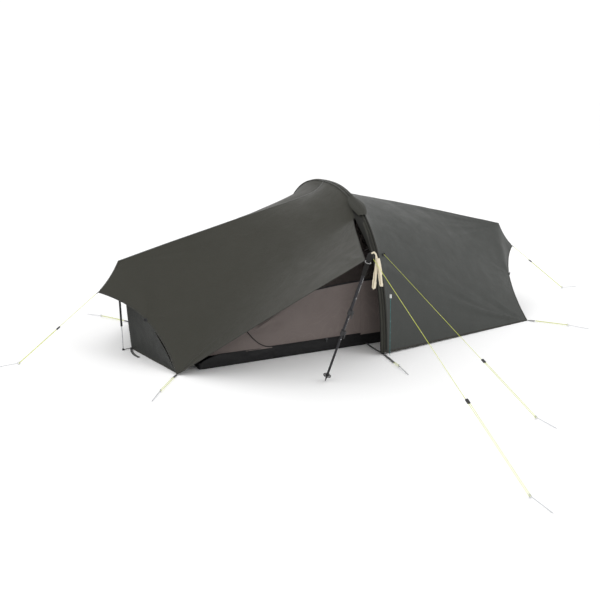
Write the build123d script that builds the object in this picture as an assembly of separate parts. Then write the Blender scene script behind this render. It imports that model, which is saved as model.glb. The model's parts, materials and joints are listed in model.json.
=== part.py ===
from build123d import *
import os
import math
import numpy as np

# Single-hoop lightweight two-person trekking tent, pitched, with one door
# unzipped and propped out as an awning on a telescopic walking pole.
# Millimetres, +Z up.  Origin on the ground under the top of the hoop,
# +X along the ridge, -Y on the door side.

# ---------------------------------------------------------------- driving sizes
HOOP_HALF = 875.0        # half width of the hoop on the ground
HOOP_TOP = 1050.0        # height of the fabric over the hoop
HOOP_P = 2.353           # superellipse exponents of the hoop
HOOP_Q = 2.395
POLE_R = 4.35            # hoop pole, 8.7 mm aluminium
POLE_IN = 11.0           # pole axis below the fabric line
SLEEVE_HALF = 15.0       # half width of the pole sleeve strip
RIDGE_X = 1521.0         # ridge end
RIDGE_Z = 617.0
RIDGE_TOP = 988.0        # straight ridge line carried on to the middle
BEAK = (1668.0, 0.0, 419.0)
TAB = (1426.0, -288.0, 275.0)
CORNER = (1339.0, -646.0, 0.0)
WALL_FOOT = (1470.0, 0.0, 0.0)
FLY_T = 1.5              # fabric solids are 1.5 mm
HINGE_TOP = (0.0, -540.0, 890.0)
DOOR_TIP = (-407.0, -1362.0, 770.0)    # propped corner of the door
FLOOR_X, FLOOR_Y, TUB = 1186.0, 621.0, 80.0   # inner floor half sizes, tray height
INNER_TOP, INNER_END = 985.0, 420.0
STRUT_X = 1529.0
ROD_R, SLEEVE_R = 3.0, 7.0
TIP_FOOT = (-557.0, -1143.0, 0.0)      # walking pole tip
TIP_HEAD = (-389.0, -1400.0, 812.0)    # walking pole head
ZIP_SETBACK = 14.0       # zip edge of the door held back from the hoop
CORD = 2.5               # guy line diameter
GUYS = {                 # name: (attachment, peg eye, runner share of the way)
    "door": ((-374.0, -1409.0, 785.0), (-379.0, -2841.0, 10.2), 0.66),
    "hoop": ((78.5, -723.5, 639.6), (203.0, -2156.0, 10.2), 0.70),
    "beak_left": ((-1676.0, 0.0, 413.0), (-2207.0, 0.0, 10.2), 0.50),
    "beak_right": ((1676.0, 0.0, 413.0), (2207.0, 0.0, 10.2), 0.34),
}
CORNER_PEG = (1504.0, 891.0)


def V(*p):
    return np.array(p, float)


# ---------------------------------------------------------------- fabric solids
def tri_solid(pts, tris):
    faces = []
    for a, b, c in tris:
        p, q, r = pts[a], pts[b], pts[c]
        if np.linalg.norm(np.cross(q - p, r - p)) < 1e-6:
            continue
        faces.append(Face(Wire.make_polygon([Vector(*p), Vector(*q), Vector(*r)], close=True)))
    s = Solid(Shell(faces))
    return s


def skin(pts, tris, t=FLY_T):
    """Closed solid of thickness t on both sides of an open triangle mesh."""
    pts = np.asarray(pts, float)
    n = np.zeros_like(pts)
    for a, b, c in tris:
        f = np.cross(pts[b] - pts[a], pts[c] - pts[a])
        for k in (a, b, c):
            n[k] += f
    n /= np.maximum(np.linalg.norm(n, axis=1), 1e-12)[:, None]
    up, low, m = pts + n * t / 2, pts - n * t / 2, len(pts)
    allp = np.vstack([up, low])
    out = [(a, b, c) for a, b, c in tris] + [(c + m, b + m, a + m) for a, b, c in tris]
    count = {}
    for a, b, c in tris:
        for e in ((a, b), (b, c), (c, a)):
            count[e] = count.get(e, 0) + 1
    for (a, b) in count:
        if (b, a) not in count:
            out += [(b, a, a + m), (b, a + m, b + m)]
    return tri_solid(allp, out)


def grid_tris(n, m):
    out = []
    for i in range(n - 1):
        for j in range(m - 1):
            a, b, c, d = i * m + j, (i + 1) * m + j, (i + 1) * m + j + 1, i * m + j + 1
            out += [(a, b, c), (a, c, d)]
    return out


def grid_skin(P, t=FLY_T):
    n, m = P.shape[:2]
    return skin(P.reshape(-1, 3), grid_tris(n, m), t)


def mirror_y(P):
    Q = P.copy()
    Q[..., 1] *= -1
    return Q[::-1]


def mirror_x(P):
    Q = P.copy()
    Q[..., 0] *= -1
    return Q[::-1]


def lerp(curve, k):
    """Point at share k of the length of a polyline."""
    c = np.asarray(curve, float)
    d = np.concatenate([[0], np.cumsum(np.linalg.norm(np.diff(c, axis=0), axis=1))])
    s = k * d[-1]
    return np.array([np.interp(s, d, c[:, i]) for i in range(3)])


def hoop(a, x=0.0, inset=0.0):
    """Near half of the hoop, a from 0 on the ground to 90 degrees at the top."""
    r = math.radians(a)
    y = -(HOOP_HALF - inset) * max(math.cos(r), 0.0) ** (2 / HOOP_P)
    z = (HOOP_TOP - inset) * max(math.sin(r), 0.0) ** (2 / HOOP_Q)
    return V(x, y, z)


def hoop_curve(a0=0.0, a1=90.0, x=0.0, inset=0.0, n=200):
    return np.array([hoop(a0 + (a1 - a0) * k / n, x, inset) for k in range(n + 1)])


def ridge(x):
    x = abs(x)
    return (RIDGE_TOP - (RIDGE_TOP - RIDGE_Z) * x / RIDGE_X
            + 8 * math.sin(math.pi * x / RIDGE_X)
            + 62 * math.exp(-max(x - SLEEVE_HALF, 0) / 75.0) * (1 - x / RIDGE_X))


def sagged(a, b, toward, sag, n=12):
    """Edge tape between two anchor points, pulled in to a shallow catenary."""
    a, b, w = V(*a), V(*b), V(*toward)
    w = w / np.linalg.norm(w)
    return np.array([a + (b - a) * k / n + w * sag * 4 * (k / n) * (1 - k / n) for k in range(n + 1)])


def coons(left, right, bottom, top, n, m):
    """Patch between four edges: left and right run in t, bottom and top in s."""
    P = np.zeros((n, m, 3))
    c00, c10, c01, c11 = left[0], right[0], left[-1], right[-1]
    for i in range(n):
        s = i / (n - 1)
        for j in range(m):
            t = j / (m - 1)
            P[i, j] = ((1 - s) * lerp(left, t) + s * lerp(right, t) + (1 - t) * lerp(bottom, s) + t * lerp(top, s)
                       - ((1 - s) * (1 - t) * c00 + s * (1 - t) * c10 + (1 - s) * t * c01 + s * t * c11))
    return P


# a spot on the hoop at the top of the door zip
ZT_A = min((abs(hoop(a / 10)[2] - HINGE_TOP[2]), a / 10) for a in range(300, 900))[1]
RG = 3.0                 # ridge seam half gap
end_edge = np.vstack([
    sagged(CORNER, TAB, (-1, 0, 0.2), 22),
    sagged(TAB, (RIDGE_X, -RG, RIDGE_Z - 2), (-1, 0, 0), 4)[1:],
])
ridge_edge = np.array([V(x, -RG, ridge(x) - 0.5) for x in np.concatenate([
    np.linspace(SLEEVE_HALF + 2, 240, 8), np.linspace(320, RIDGE_X, 8)])])
ridge_edge[-1] = end_edge[-1]
hoop_edge = hoop_curve(0.35, 89.6, SLEEVE_HALF + 2)
hoop_edge[0][2] = 1.0
hoop_edge[-1] = ridge_edge[0]
e0 = end_edge.copy()
e0[0] = V(CORNER[0], CORNER[1], 1.0)
hem = np.array([hoop_edge[0], e0[0]])
near_right = coons(hoop_edge, e0, hem, ridge_edge, 12, 11)

# left half on the door side: fixed panel above the door's fold line
u_fold = V(*HINGE_TOP) - V(-CORNER[0], CORNER[1], CORNER[2])
fold_len = np.linalg.norm(u_fold)
u_fold = u_fold / fold_len
G_left = V(-CORNER[0], CORNER[1], 1.0)
hl = hoop_curve(ZT_A + 0.8, 89.6, -(SLEEVE_HALF + 2))
ml = e0.copy(); ml[:, 0] *= -1
rl = ridge_edge.copy(); rl[:, 0] *= -1
hl[-1] = rl[0]
ml2 = ml.copy()
fold_edge = np.array([hl[0], ml2[0] + V(6, 3, 12)])
ml2[0] = fold_edge[1]
near_left = coons(hl, ml2, fold_edge, rl, 12, 9)[::-1]

far_right = mirror_y(near_right)
far_left = mirror_x(far_right)

parts = {}
parts["fly_panel_near_right"] = [grid_skin(near_right)]
parts["fly_panel_near_left"] = [grid_skin(near_left)]
parts["fly_panel_far_right"] = [grid_skin(far_right)]
parts["fly_panel_far_left"] = [grid_skin(far_left)]


# beak hoods: two sloping cheeks that meet on the ridge line carried down to the tip
def beak(side):
    E = V(RIDGE_X + 3, 0, RIDGE_Z - 2)
    B = V(*BEAK)
    T1 = V(TAB[0] + 4, TAB[1] - 1, TAB[2] + 1)
    lower = sagged(T1, B, (-1, 0, 0.6), 24, 8)
    upper = sagged(T1, E, (-1, 0, 0), 4, 8)
    upper = upper + V(3.5, 0, 0)
    pts, idx, rows = [], {}, 9
    for side_y in (1, -1):
        for i in range(rows):
            lo, up = lower[i], upper[i]
            m = 5
            for j in range(m):
                if i == 0 and j > 0:
                    idx[(side_y, i, j)] = idx[(side_y, 0, 0)]
                    continue
                if i == rows - 1 and side_y == -1:
                    idx[(side_y, i, j)] = idx[(1, i, j)]
                    continue
                k = j / (m - 1)
                p = lo * (1 - k) + up * k
                p = V(p[0], p[1] * side_y, p[2])
                idx[(side_y, i, j)] = len(pts)
                pts.append(p)
    tris = []
    for side_y in (1, -1):
        for i in range(rows - 1):
            for j in range(4):
                a, b = idx[(side_y, i, j)], idx[(side_y, i + 1, j)]
                c, d = idx[(side_y, i + 1, j + 1)], idx[(side_y, i, j + 1)]
                for t in ((a, b, c), (a, c, d)):
                    if len(set(t)) == 3:
                        tris.append(t if side_y == 1 else t[::-1])
    pts = np.array(pts)
    if side < 0:
        pts[:, 0] *= -1
        tris = [t[::-1] for t in tris]
    return skin(pts, tris)


parts["fly_beak_left"] = [beak(-1)]
parts["fly_beak_right"] = [beak(1)]


# end walls: two leaves each side of the centre line under the beak
def end_wall(side):
    leaves = []
    for sy in (1, -1):
        outer = np.array([V(CORNER[0] - 12, CORNER[1] + 26, 1.2), V(TAB[0] - 26, TAB[1] + 16, TAB[2] - 10),
                          V(TAB[0] + 0, TAB[1] + 80, TAB[2] + 50), V(1478, -10, 560)])
        inner = np.array([V(WALL_FOOT[0], -2, 1.2), V(1480, -2, 160), V(1490, -2, 380), V(1499, -2, 556)])
        P = np.zeros((5, 8, 3))
        for j in range(8):
            for i in range(5):
                P[i, j] = lerp(outer, j / 7) * (1 - i / 4) + lerp(inner, j / 7) * (i / 4)
        P[..., 0] *= side
        P[..., 1] *= sy
        leaves.append(grid_skin(P if side * sy > 0 else P[::-1]))
    return leaves


parts["fly_end_walls"] = end_wall(-1) + end_wall(1)

# ---------------------------------------------------------------- hoop
def ribbon_tube(curve, r, n=10):
    """Polygonal round bar along a planar curve in the YZ plane."""
    c = np.asarray(curve, float)
    t = np.gradient(c, axis=0)
    t /= np.linalg.norm(t, axis=1)[:, None]
    b = V(1, 0, 0)
    pts = []
    for p, d in zip(c, t):
        k = np.cross(b, d)
        k /= np.linalg.norm(k)
        for q in range(n):
            a = 2 * math.pi * q / n
            pts.append(p + r * (math.cos(a) * b + math.sin(a) * k))
    tris = []
    for i in range(len(c) - 1):
        for q in range(n):
            a, e = i * n + q, i * n + (q + 1) % n
            tris += [(a, e, e + n), (a, e + n, a + n)]
    last = (len(c) - 1) * n
    tris += [(0, q + 1, q) for q in range(1, n - 1)]
    tris += [(last, last + q, last + q + 1) for q in range(1, n - 1)]
    return tri_solid(np.array(pts), tris)


half = hoop_curve(1.2, 90, 0, POLE_IN)
whole = np.vstack([half, (half * V(1, -1, 1))[::-1][1:]])
SECTIONS = 7


def cut(curve, k0, k1, n):
    return np.array([lerp(curve, k0 + (k1 - k0) * i / n) for i in range(n + 1)])


arc_len = float(np.linalg.norm(np.diff(whole, axis=0), axis=1).sum())
FERRULE = 40.0 / arc_len
secs, ferrules = [], []
for k in range(SECTIONS):
    a = k / SECTIONS + (FERRULE / 2 + 0.4 / arc_len if k else 14 / arc_len)
    b = (k + 1) / SECTIONS - (FERRULE / 2 + 0.4 / arc_len if k < SECTIONS - 1 else 14 / arc_len)
    secs.append(ribbon_tube(cut(whole, a, b, 9), POLE_R, 12))
    if k:
        m = k / SECTIONS
        ferrules.append(ribbon_tube(cut(whole, m - FERRULE / 2, m + FERRULE / 2, 3), POLE_R + 0.55, 12))
parts["hoop_pole_sections"] = secs
parts["hoop_pole_ferrules"] = ferrules
tips = []
for s in (-1, 1):
    y0 = s * (HOOP_HALF - POLE_IN + 0.5)
    tips.append(Cylinder(6.5, 9.0).moved(Location((0, y0, 7.5))) - Cylinder(4.9, 6).moved(Location((0, y0, 12.0))))
parts["hoop_pole_tips"] = tips

# pole sleeve: strip of fabric that wraps over the hoop
sl = []
a_list = [0.6 + (90 - 0.6) * k / 22 for k in range(23)]
prof = [(-SLEEVE_HALF, 0.5), (-9.0, 1.2), (0.0, 2.2), (9.0, 1.2), (SLEEVE_HALF, 0.5)]
P = np.zeros((45, 5, 3))
arc = [hoop(a) for a in a_list]
arc += [p * V(1, -1, 1) for p in arc[::-1][1:]]
arc = np.array(arc)
tan = np.gradient(arc, axis=0)
tan /= np.linalg.norm(tan, axis=1)[:, None]
for i, (p, d) in enumerate(zip(arc, tan)):
    out = np.cross(V(1, 0, 0), d)
    out = out if out @ (p - V(0, 0, 300)) > 0 else -out
    for j, (x, h) in enumerate(prof):
        P[i, j] = p + V(x, 0, 0) + out * (h - 1.6)
P[..., 2] = np.maximum(P[..., 2], 1.0)
parts["hoop_sleeve"] = [grid_skin(P[:, ::-1])]

# rain hood over the top of the zip, a curved flap stood just off the sleeve
Hd = np.zeros((6, 7, 3))
for j in range(7):
    a = ZT_A - 6 + j * 3.0
    p, q = hoop(a), hoop(a + 0.5)
    d = (q - p) / np.linalg.norm(q - p)
    out = np.cross(V(1, 0, 0), d)
    out = out if out @ (p - V(0, 0, 300)) > 0 else -out
    for i in range(6):
        k = i / 5
        w = 26 + 30 * math.sin(math.pi * j / 6)
        Hd[i, j] = p + V(-w + 2 * w * k, 0, 0) + out * (4.5 + 9 * math.sin(math.pi * k))
parts["door_hood"] = [grid_skin(Hd[::-1])]

# ---------------------------------------------------------------- fly door
D0 = V(-CORNER[0], CORNER[1], 0)
D1 = V(*HINGE_TOP)
D2 = V(*DOOR_TIP)
inward = (D2 - D0) - ((D2 - D0) @ u_fold) * u_fold
inward /= np.linalg.norm(inward)


ROWS = 9
dp, di = [], {}
start, stop = 0.035, 0.955
tip_a = ((D2 - D0) @ u_fold) / fold_len
for i in range(ROWS + 1):
    # lines from the fold to the free edges, drawn as shares of the triangle
    k = i / ROWS
    a = start + (stop - start) * k
    base = D0 + u_fold * fold_len * a
    if a <= tip_a:
        free = D0 + (D2 - D0) * (a / tip_a)
    else:
        free = D1 + (D2 - D1) * ((1 - a) / (1 - tip_a))
        reach = np.linalg.norm(free - base)
        free = base + (free - base) * (1 - min(ZIP_SETBACK / reach, 0.4))
    for j in range(5):
        p = base + (free - base) * (j / 4)
        if j == 0:
            p = base + inward * 4.0
        di[(i, j)] = len(dp)
        dp.append(p)
# put one grid line exactly on the propped corner
near_i = min(range(ROWS + 1), key=lambda i: abs(start + (stop - start) * i / ROWS - tip_a))
for j in range(5):
    base = D0 + u_fold * fold_len * tip_a
    dp[di[(near_i, j)]] = base + (D2 - base) * (j / 4) if j else base + inward * 4.0
tris = []
for i in range(ROWS):
    for j in range(4):
        a, b, c, d = di[(i, j)], di[(i + 1, j)], di[(i + 1, j + 1)], di[(i, j + 1)]
        tris += [(a, b, c), (a, c, d)]
parts["fly_door"] = [skin(np.array(dp), tris)]

# ---------------------------------------------------------------- inner tent
def inner(x, v):
    """Near side of the inner tent at x, v from 0 on the floor to 1 at its ridge."""
    k = abs(x) / FLOOR_X
    h = INNER_TOP + (INNER_END - INNER_TOP) * k - 20 * math.sin(math.pi * k)
    p = 3.6 - 2.25 * k
    z = h * v
    y = -FLOOR_Y * max(1 - v ** p, 0) ** (1 / p)
    return V(x, y, z)


def inner_z(x, z):
    k = abs(x) / FLOOR_X
    h = INNER_TOP + (INNER_END - INNER_TOP) * k - 20 * math.sin(math.pi * k)
    return inner(x, z / h)


def band_top(x):
    """Height where solid cloth gives way to mesh."""
    return 450 - 205 * (abs(x) / FLOOR_X) ** 1.6


def inner_patch(x0, x1, n, low, high, m, side=-1):
    P = np.zeros((n, m, 3))
    for i in range(n):
        x = x0 + (x1 - x0) * i / (n - 1)
        a, b = low(x), high(x)
        for j in range(m):
            z = a + (b - a) * j / (m - 1)
            q = inner_z(x, z)
            P[i, j] = q if side < 0 else q * V(1, -1, 1)
    return P if side < 0 else P[::-1]


DOOR_L, DOOR_R = -851.0, -44.0
lo = lambda x: TUB + 6
parts["inner_wall_near"] = [
    grid_skin(inner_patch(-FLOOR_X + 4, DOOR_L - 5, 5, lo, lambda x: band_top(x) - 4, 5)),
    grid_skin(inner_patch(DOOR_R + 5, FLOOR_X - 4, 9, lo, lambda x: band_top(x) - 4, 5)),
]
parts["inner_wall_far"] = [grid_skin(inner_patch(-FLOOR_X + 4, FLOOR_X - 4, 15, lo, lambda x: band_top(x) - 4, 5, 1))]


def inner_ridge_z(x):
    k = abs(x) / FLOOR_X
    return INNER_TOP + (INNER_END - INNER_TOP) * k - 20 * math.sin(math.pi * k)


def inner_top(x0, n, m, side):
    P = np.zeros((n, m, 3))
    for i in range(n):
        x = -x0 + 2 * x0 * i / (n - 1)
        k = abs(x) / FLOOR_X
        h, p = inner_ridge_z(x), 3.6 - 2.25 * k
        r0 = math.asin(((band_top(x) + 3) / h) ** (p / 2))
        for j in range(m):
            r = r0 + (math.pi / 2 - r0) * j / (m - 1)
            y = -FLOOR_Y * max(math.cos(r), 0) ** (2 / p)
            q = V(x, min(y, -3), h * math.sin(r) ** (2 / p))
            P[i, j] = q if side < 0 else q * V(1, -1, 1)
    return P if side < 0 else P[::-1]


parts["inner_mesh_near"] = [grid_skin(inner_top(FLOOR_X - 4, 15, 7, -1))]
parts["inner_mesh_far"] = [grid_skin(inner_top(FLOOR_X - 4, 15, 7, 1))]

# end panels of the inner, leaning out a little over the tray
ends = []
for side in (-1, 1):
    rim = []
    for k in range(9):
        z = (TUB + 6) + (inner_ridge_z(FLOOR_X) - 8 - TUB - 6) * k / 8
        q = inner_z(FLOOR_X, z)
        rim.append((q[1] + 6, z))
    n = len(rim)
    P = np.zeros((n, 3, 3))
    for k, (y, z) in enumerate(rim):
        y = min(y, -2)
        P[k] = [V(side * (FLOOR_X + 1.5), y, z), V(side * (FLOOR_X + 1.5), 0, z), V(side * (FLOOR_X + 1.5), -y, z)]
    ends.append(grid_skin(P if side < 0 else P[:, ::-1]))
parts["inner_end_walls"] = ends

# inner door: cloth panel closed along the zip, folding on its upright edge
def door_low(x):
    k = min(max((x - DOOR_L) / 160.0, 0), 1)
    return TUB + 6 + 120 * (1 - k) ** 2.2


parts["inner_door"] = [grid_skin(inner_patch(DOOR_L, DOOR_R, 9, door_low, lambda x: band_top(x) - 4, 5))]
xs = [DOOR_L + 160.0 * k / 4 for k in range(5)]
P = np.zeros((4, 2, 3))
for i in range(4):
    x = DOOR_L + 40.0 * i
    P[i, 0] = inner_z(x, TUB + 6)
    P[i, 1] = inner_z(x, max(door_low(x) - 5, TUB + 8))
parts["inner_wall_near"].append(grid_skin(P))

# tray: floor and four low walls
FL = 3.0
parts["groundsheet"] = [Box(2 * FLOOR_X, 2 * FLOOR_Y, FL).moved(Location((0, 0, FL / 2)))]
wall_h = TUB - FL - 0.5


def low_wall(half, cut_at, low, plane, t=2.0):
    """Low tray wall, cut down towards its corners where the flysheet comes in."""
    z0, z1 = FL + 0.3, FL + 0.3 + wall_h
    w = Polyline((-half, z0), (half, z0), (half, low), (cut_at, z1), (-cut_at, z1), (-half, low), close=True)
    return extrude(plane * make_face(w), t / 2, both=True)


side_plane = lambda y: Plane(origin=(0, y, 0), x_dir=(1, 0, 0), z_dir=(0, -1, 0))
end_plane = lambda x: Plane(origin=(x, 0, 0), x_dir=(0, 1, 0), z_dir=(1, 0, 0))
parts["bathtub_wall_near"] = [low_wall(FLOOR_X - 3, 1060, 32, side_plane(-FLOOR_Y + 1))]
parts["bathtub_wall_far"] = [low_wall(FLOOR_X - 3, 1060, 32, side_plane(FLOOR_Y - 1))]
parts["bathtub_wall_ends"] = [low_wall(FLOOR_Y - 3.5, 500, 30, end_plane(s * (FLOOR_X - 1.1))) for s in (-1, 1)]

# elastic hangers from the hoop to the inner
hang = []
for a in (38, 58, 90):
    for s in ((-1, 1) if a < 90 else (1,)):
        p = hoop(a, 0, POLE_IN)
        d = V(0, p[1], p[2] - 420)
        d /= np.linalg.norm(d)
        start = p - d * (POLE_R + 2.4)
        q = None
        for L in range(10, 220):
            w = start - d * L
            v = w[2] / inner_ridge_z(0)
            if v < 1 and abs(w[1]) < abs(inner(0, v)[1]):
                q = start - d * (L - 15)
                break
        a0, b0 = V(*start), V(*q)
        a0[1], b0[1] = a0[1] * s, b0[1] * s
        ln = np.linalg.norm(b0 - a0)
        hang.append(Cylinder(2.0, ln, align=(Align.CENTER, Align.CENTER, Align.MIN)).moved(
            Plane(origin=tuple(a0), z_dir=tuple((b0 - a0) / ln)).location))
parts["inner_hangers"] = hang

# ---------------------------------------------------------------- end struts
rods, sleeves, feet, pockets = [], [], [], []
for s in (-1, 1):
    x = s * STRUT_X
    rods.append(Cylinder(ROD_R, 576 - 12, align=(Align.CENTER, Align.CENTER, Align.MIN)).moved(Location((x, 0, 12))))
    sl_ = Cylinder(SLEEVE_R, 392, align=(Align.CENTER, Align.CENTER, Align.MIN)) - Cylinder(ROD_R + 0.4, 392, align=(Align.CENTER, Align.CENTER, Align.MIN))
    sleeves.append(sl_.moved(Location((x, 0, 168))))
    f = Cylinder(5.5, 12, align=(Align.CENTER, Align.CENTER, Align.MIN)) + Cylinder(9, 3, align=(Align.CENTER, Align.CENTER, Align.MIN))
    feet.append(fillet(f.edges().filter_by(GeomType.CIRCLE).group_by(Axis.Z)[-1], 1.5).moved(Location((x, 0, 0))))
    c = Cylinder(9.5, 19, align=(Align.CENTER, Align.CENTER, Align.MIN)) - Cylinder(7.4, 8, align=(Align.CENTER, Align.CENTER, Align.MIN))
    c = c - Cylinder(ROD_R + 0.4, 16, align=(Align.CENTER, Align.CENTER, Align.MIN))
    pockets.append(c.moved(Location((x, 0, 562))))
parts["end_strut_rods"] = rods
parts["end_strut_sleeves"] = sleeves
parts["end_strut_feet"] = feet
parts["end_strut_pockets"] = pockets

# ---------------------------------------------------------------- pegs
def frame_at(p, d):
    """Location with local X along d (level) and Z up."""
    ang = math.degrees(math.atan2(d[1], d[0]))
    return Location((float(p[0]), float(p[1]), float(p[2])), (0, 0, ang))


def peg(p, d):
    """Ring-topped pin laid on the ground, eye centre at p, shaft along d."""
    ring = Torus(8.0, 2.0).moved(Location((0, 0, 0), (90, 0, 0)))
    L = 150.0
    drop = p[2] - 2.2
    ang = math.degrees(math.atan2(drop, L))
    shaft = Cylinder(2.0, L - 14, align=(Align.CENTER, Align.CENTER, Align.MIN)) + Cone(2.0, 0.4, 12, align=(Align.CENTER, Align.CENTER, Align.MIN)).moved(Location((0, 0, L - 14)))
    shaft = shaft.moved(Location((7.6, 0, 0), (0, 90 + ang, 0)))
    return (ring + shaft).moved(frame_at(p, d))


def runner_solid():
    """Line runner: flat plastic bar with one hole for each strand, local X along the line."""
    b = fillet(Box(30, 17, 7).edges().filter_by(Axis.Z), 4.0)
    b = chamfer(b.edges().group_by(Axis.Z)[-1] + b.edges().group_by(Axis.Z)[0], 1.0)
    for y in (-4.5, 4.5):
        b -= Cylinder(1.9, 40).moved(Location((0, y, 0), (0, 90, 0)))
    return b


pegs, guy_axes = [], {}
for name, (a, e, share) in GUYS.items():
    a, e = V(*a), V(*e)
    flat = V(e[0] - a[0], e[1] - a[1], 0)
    flat /= np.linalg.norm(flat)
    side = V(-flat[1], flat[0], 0)
    eye = V(e[0], e[1], e[2])
    pegs.append(peg(eye, flat))
    d = (eye - a) / np.linalg.norm(eye - a)
    L = np.linalg.norm(eye - a)
    bend = eye - flat * 3.0                  # where the loop turns through the eye
    # strands run 9 mm apart, the live strand straight from the attachment
    live0 = a - side * 4.5
    turn_a, turn_b = bend - side * 4.5 + d * 3.0, bend + side * 4.5 + d * 3.0
    dl = (turn_a - live0) / np.linalg.norm(turn_a - live0)
    run_at = live0 + dl * (L * share)
    tail = run_at + side * 9.0 - dl * 6.0
    path = FilletPolyline(Vector(*live0), Vector(*turn_a), Vector(*turn_b), Vector(*tail), radius=4.3)
    tube = sweep(Plane(origin=path @ 0, z_dir=path % 0) * Circle(CORD / 2), path=path)
    parts["guy_line_" + name] = [tube]
    mid = run_at + side * 4.5
    upv = np.cross(dl, side)
    upv = upv if upv[2] > 0 else -upv
    loc = Plane(origin=tuple(mid), x_dir=tuple(dl), z_dir=tuple(upv)).location
    parts["guy_runner_" + name] = [runner_solid().moved(loc)]
    guy_axes[name] = (dl, L * share, L)
    print("guy", name, "length", round(path.length), "axis", np.round(dl, 5).tolist(), "route",
          [np.round(q, 1).tolist() for q in (live0, turn_a, turn_b, tail)], "runner", np.round(mid, 1).tolist(),
          "volume", round(tube.volume), "of", round(path.length * math.pi * CORD ** 2 / 4))


# short cords at the corners and the hoop foot: one loop from the webbing to the peg
def loop_cord(a, e, gap=4.5, name=""):
    a, e = V(*a), V(*e)
    flat = V(e[0] - a[0], e[1] - a[1], 0)
    flat /= np.linalg.norm(flat)
    side = V(-flat[1], flat[0], 0)
    pegs.append(peg(e, flat))
    d = (e - a) / np.linalg.norm(e - a)
    p0, p1, p2, p3 = a - side * gap, e - d * 1.0 - side * gap, e - d * 1.0 + side * gap, a + side * gap
    path = FilletPolyline(Vector(*p0), Vector(*p1), Vector(*p2), Vector(*p3), radius=gap - 0.2)
    print("cord", name, "length", round(path.length), "route", [np.round(q, 1).tolist() for q in (p0, p1, p2, p3)])
    return sweep(Plane(origin=path @ 0, z_dir=path % 0) * Circle(CORD / 2), path=path)


web = []


def webbing(a, b, w=15.0, t=2.0, lift=0.0):
    """Flat strap between two points, face up."""
    a, b = V(*a), V(*b)
    L = np.linalg.norm(b - a)
    d = (b - a) / L
    side = np.cross(V(0, 0, 1), d)
    side /= np.linalg.norm(side)
    up = np.cross(d, side)
    return Box(L, w, t).moved(Plane(origin=tuple((a + b) / 2 + V(0, 0, lift)), x_dir=tuple(d), z_dir=tuple(up)).location)


for sx, sy, corded in ((-1, -1, "near_left"), (1, -1, "near_right"), (-1, 1, "far_left"), (1, 1, "")):
    c = V(sx * CORNER[0], -sy * CORNER[1], 0)
    pg = V(sx * CORNER_PEG[0], sy * CORNER_PEG[1], 10.2)
    out = V(pg[0] - c[0], pg[1] - c[1], 0)
    out /= np.linalg.norm(out)
    c0 = c + out * 8
    web.append(webbing((c0[0], c0[1], 2.5), (c0[0] + out[0] * 46, c0[1] + out[1] * 46, 6.5)))
    if corded:
        a = c0 + out * 50 + V(0, 0, 6.8)
        parts["corner_cord_" + corded] = [loop_cord(a, pg, name=corded)]
    else:
        pegs.append(peg(c0 + out * 60 + V(0, 0, 10.2), out))

# hoop feet: webbing under the pole tip to the foot peg and back to the inner tray
FOOT_PEG = V(-34, -1124, 10.2)
HF = V(0, -HOOP_HALF, 0)
web.append(webbing((-2, -892, 2.2), (-22, -1040, 5.0), 16))
parts["hoop_foot_cord"] = [loop_cord(V(-23, -1046, 6.0), FOOT_PEG, name="hoop_foot")]
web.append(webbing((0, 892, 2.2), (0, 950, 5.0), 20))
pegs.append(peg(V(0, 964, 10.2), V(0, 1, 0)))
web.append(webbing((0, -FLOOR_Y - 3, 4.0), (0, -850, 3.0), 15))
web.append(webbing((0, FLOOR_Y + 3, 4.0), (0, 850, 3.0), 15))
for s in (-1, 1):
    web.append(webbing((s * 1669.5, 0, 417.5), (s * 1675.0, 0, 413.0), 12, 2.0))
parts["webbing_loops"] = web

# black square tabs on the end edges and the loop for the hoop guy
tabs = []
for sx in (-1, 1):
    for sy in (-1, 1):
        tabs.append(Box(3, 24, 20).moved(Location((sx * (TAB[0] + 14), -sy * TAB[1] + sy * 9, TAB[2] - 4), (0, 0, -sx * sy * 38))))
tabs.append(Box(22, 20, 3.0).moved(Plane(origin=(75.15, -717.7, 635.97), x_dir=(0.8988, 0.3699, -0.2351),
                                       z_dir=(0.4383, -0.7585, 0.4822)).location))
parts["edge_tabs"] = tabs

# straps at the strut feet: tie to the end wall and a loose tail on the ground
st = []
for s in (-1, 1):
    st.append(webbing((s * (STRUT_X - 11), 4, 2.0), (s * (WALL_FOOT[0] + 6), 12, 2.0), 8, 1.6))
    st.append(webbing((s * 1476, -30, 1.2), (s * 1486, -110, 1.2), 9, 1.6))
    st.append(webbing((s * 1486.4, -113, 1.2), (s * 1472, -205, 1.2), 9, 1.6))
parts["strut_straps"] = st

# teal tension cord beside the zip, with its cord lock
TX, TY = 24.0, -906.0
tc = Cylinder(1.5, 415, align=(Align.CENTER, Align.CENTER, Align.MIN)).moved(Location((TX, TY, 3)))
parts["zip_tension_cord"] = [tc]
lk = fillet((Cylinder(7, 24)).edges().filter_by(GeomType.CIRCLE), 2.0)
lk -= Cylinder(1.85, 40)
parts["cord_lock"] = [lk.moved(Location((TX, TY, 404)))]

# zip slider of the inner door, on the straight run above the tray
zs = fillet(Box(16, 5, 9).edges().filter_by(Axis.Y), 2.0) + Box(5, 2.4, 20).moved(Location((0, -3.2, -12)))
parts["inner_zip_slider"] = [zs.moved(Location((-300, -FLOOR_Y - 6.5, TUB + 4)))]

# ---------------------------------------------------------------- walking pole
A, B = V(*TIP_FOOT), V(*TIP_HEAD)
PL = float(np.linalg.norm(B - A))
ax = (B - A) / PL
side = np.cross(ax, V(0, 0, 1))
side /= np.linalg.norm(side)
PLN = Plane(origin=tuple(A), x_dir=tuple(side), z_dir=tuple(ax))
AT = lambda s: s.moved(PLN.location)
MN = (Align.CENTER, Align.CENTER, Align.MIN)


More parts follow.
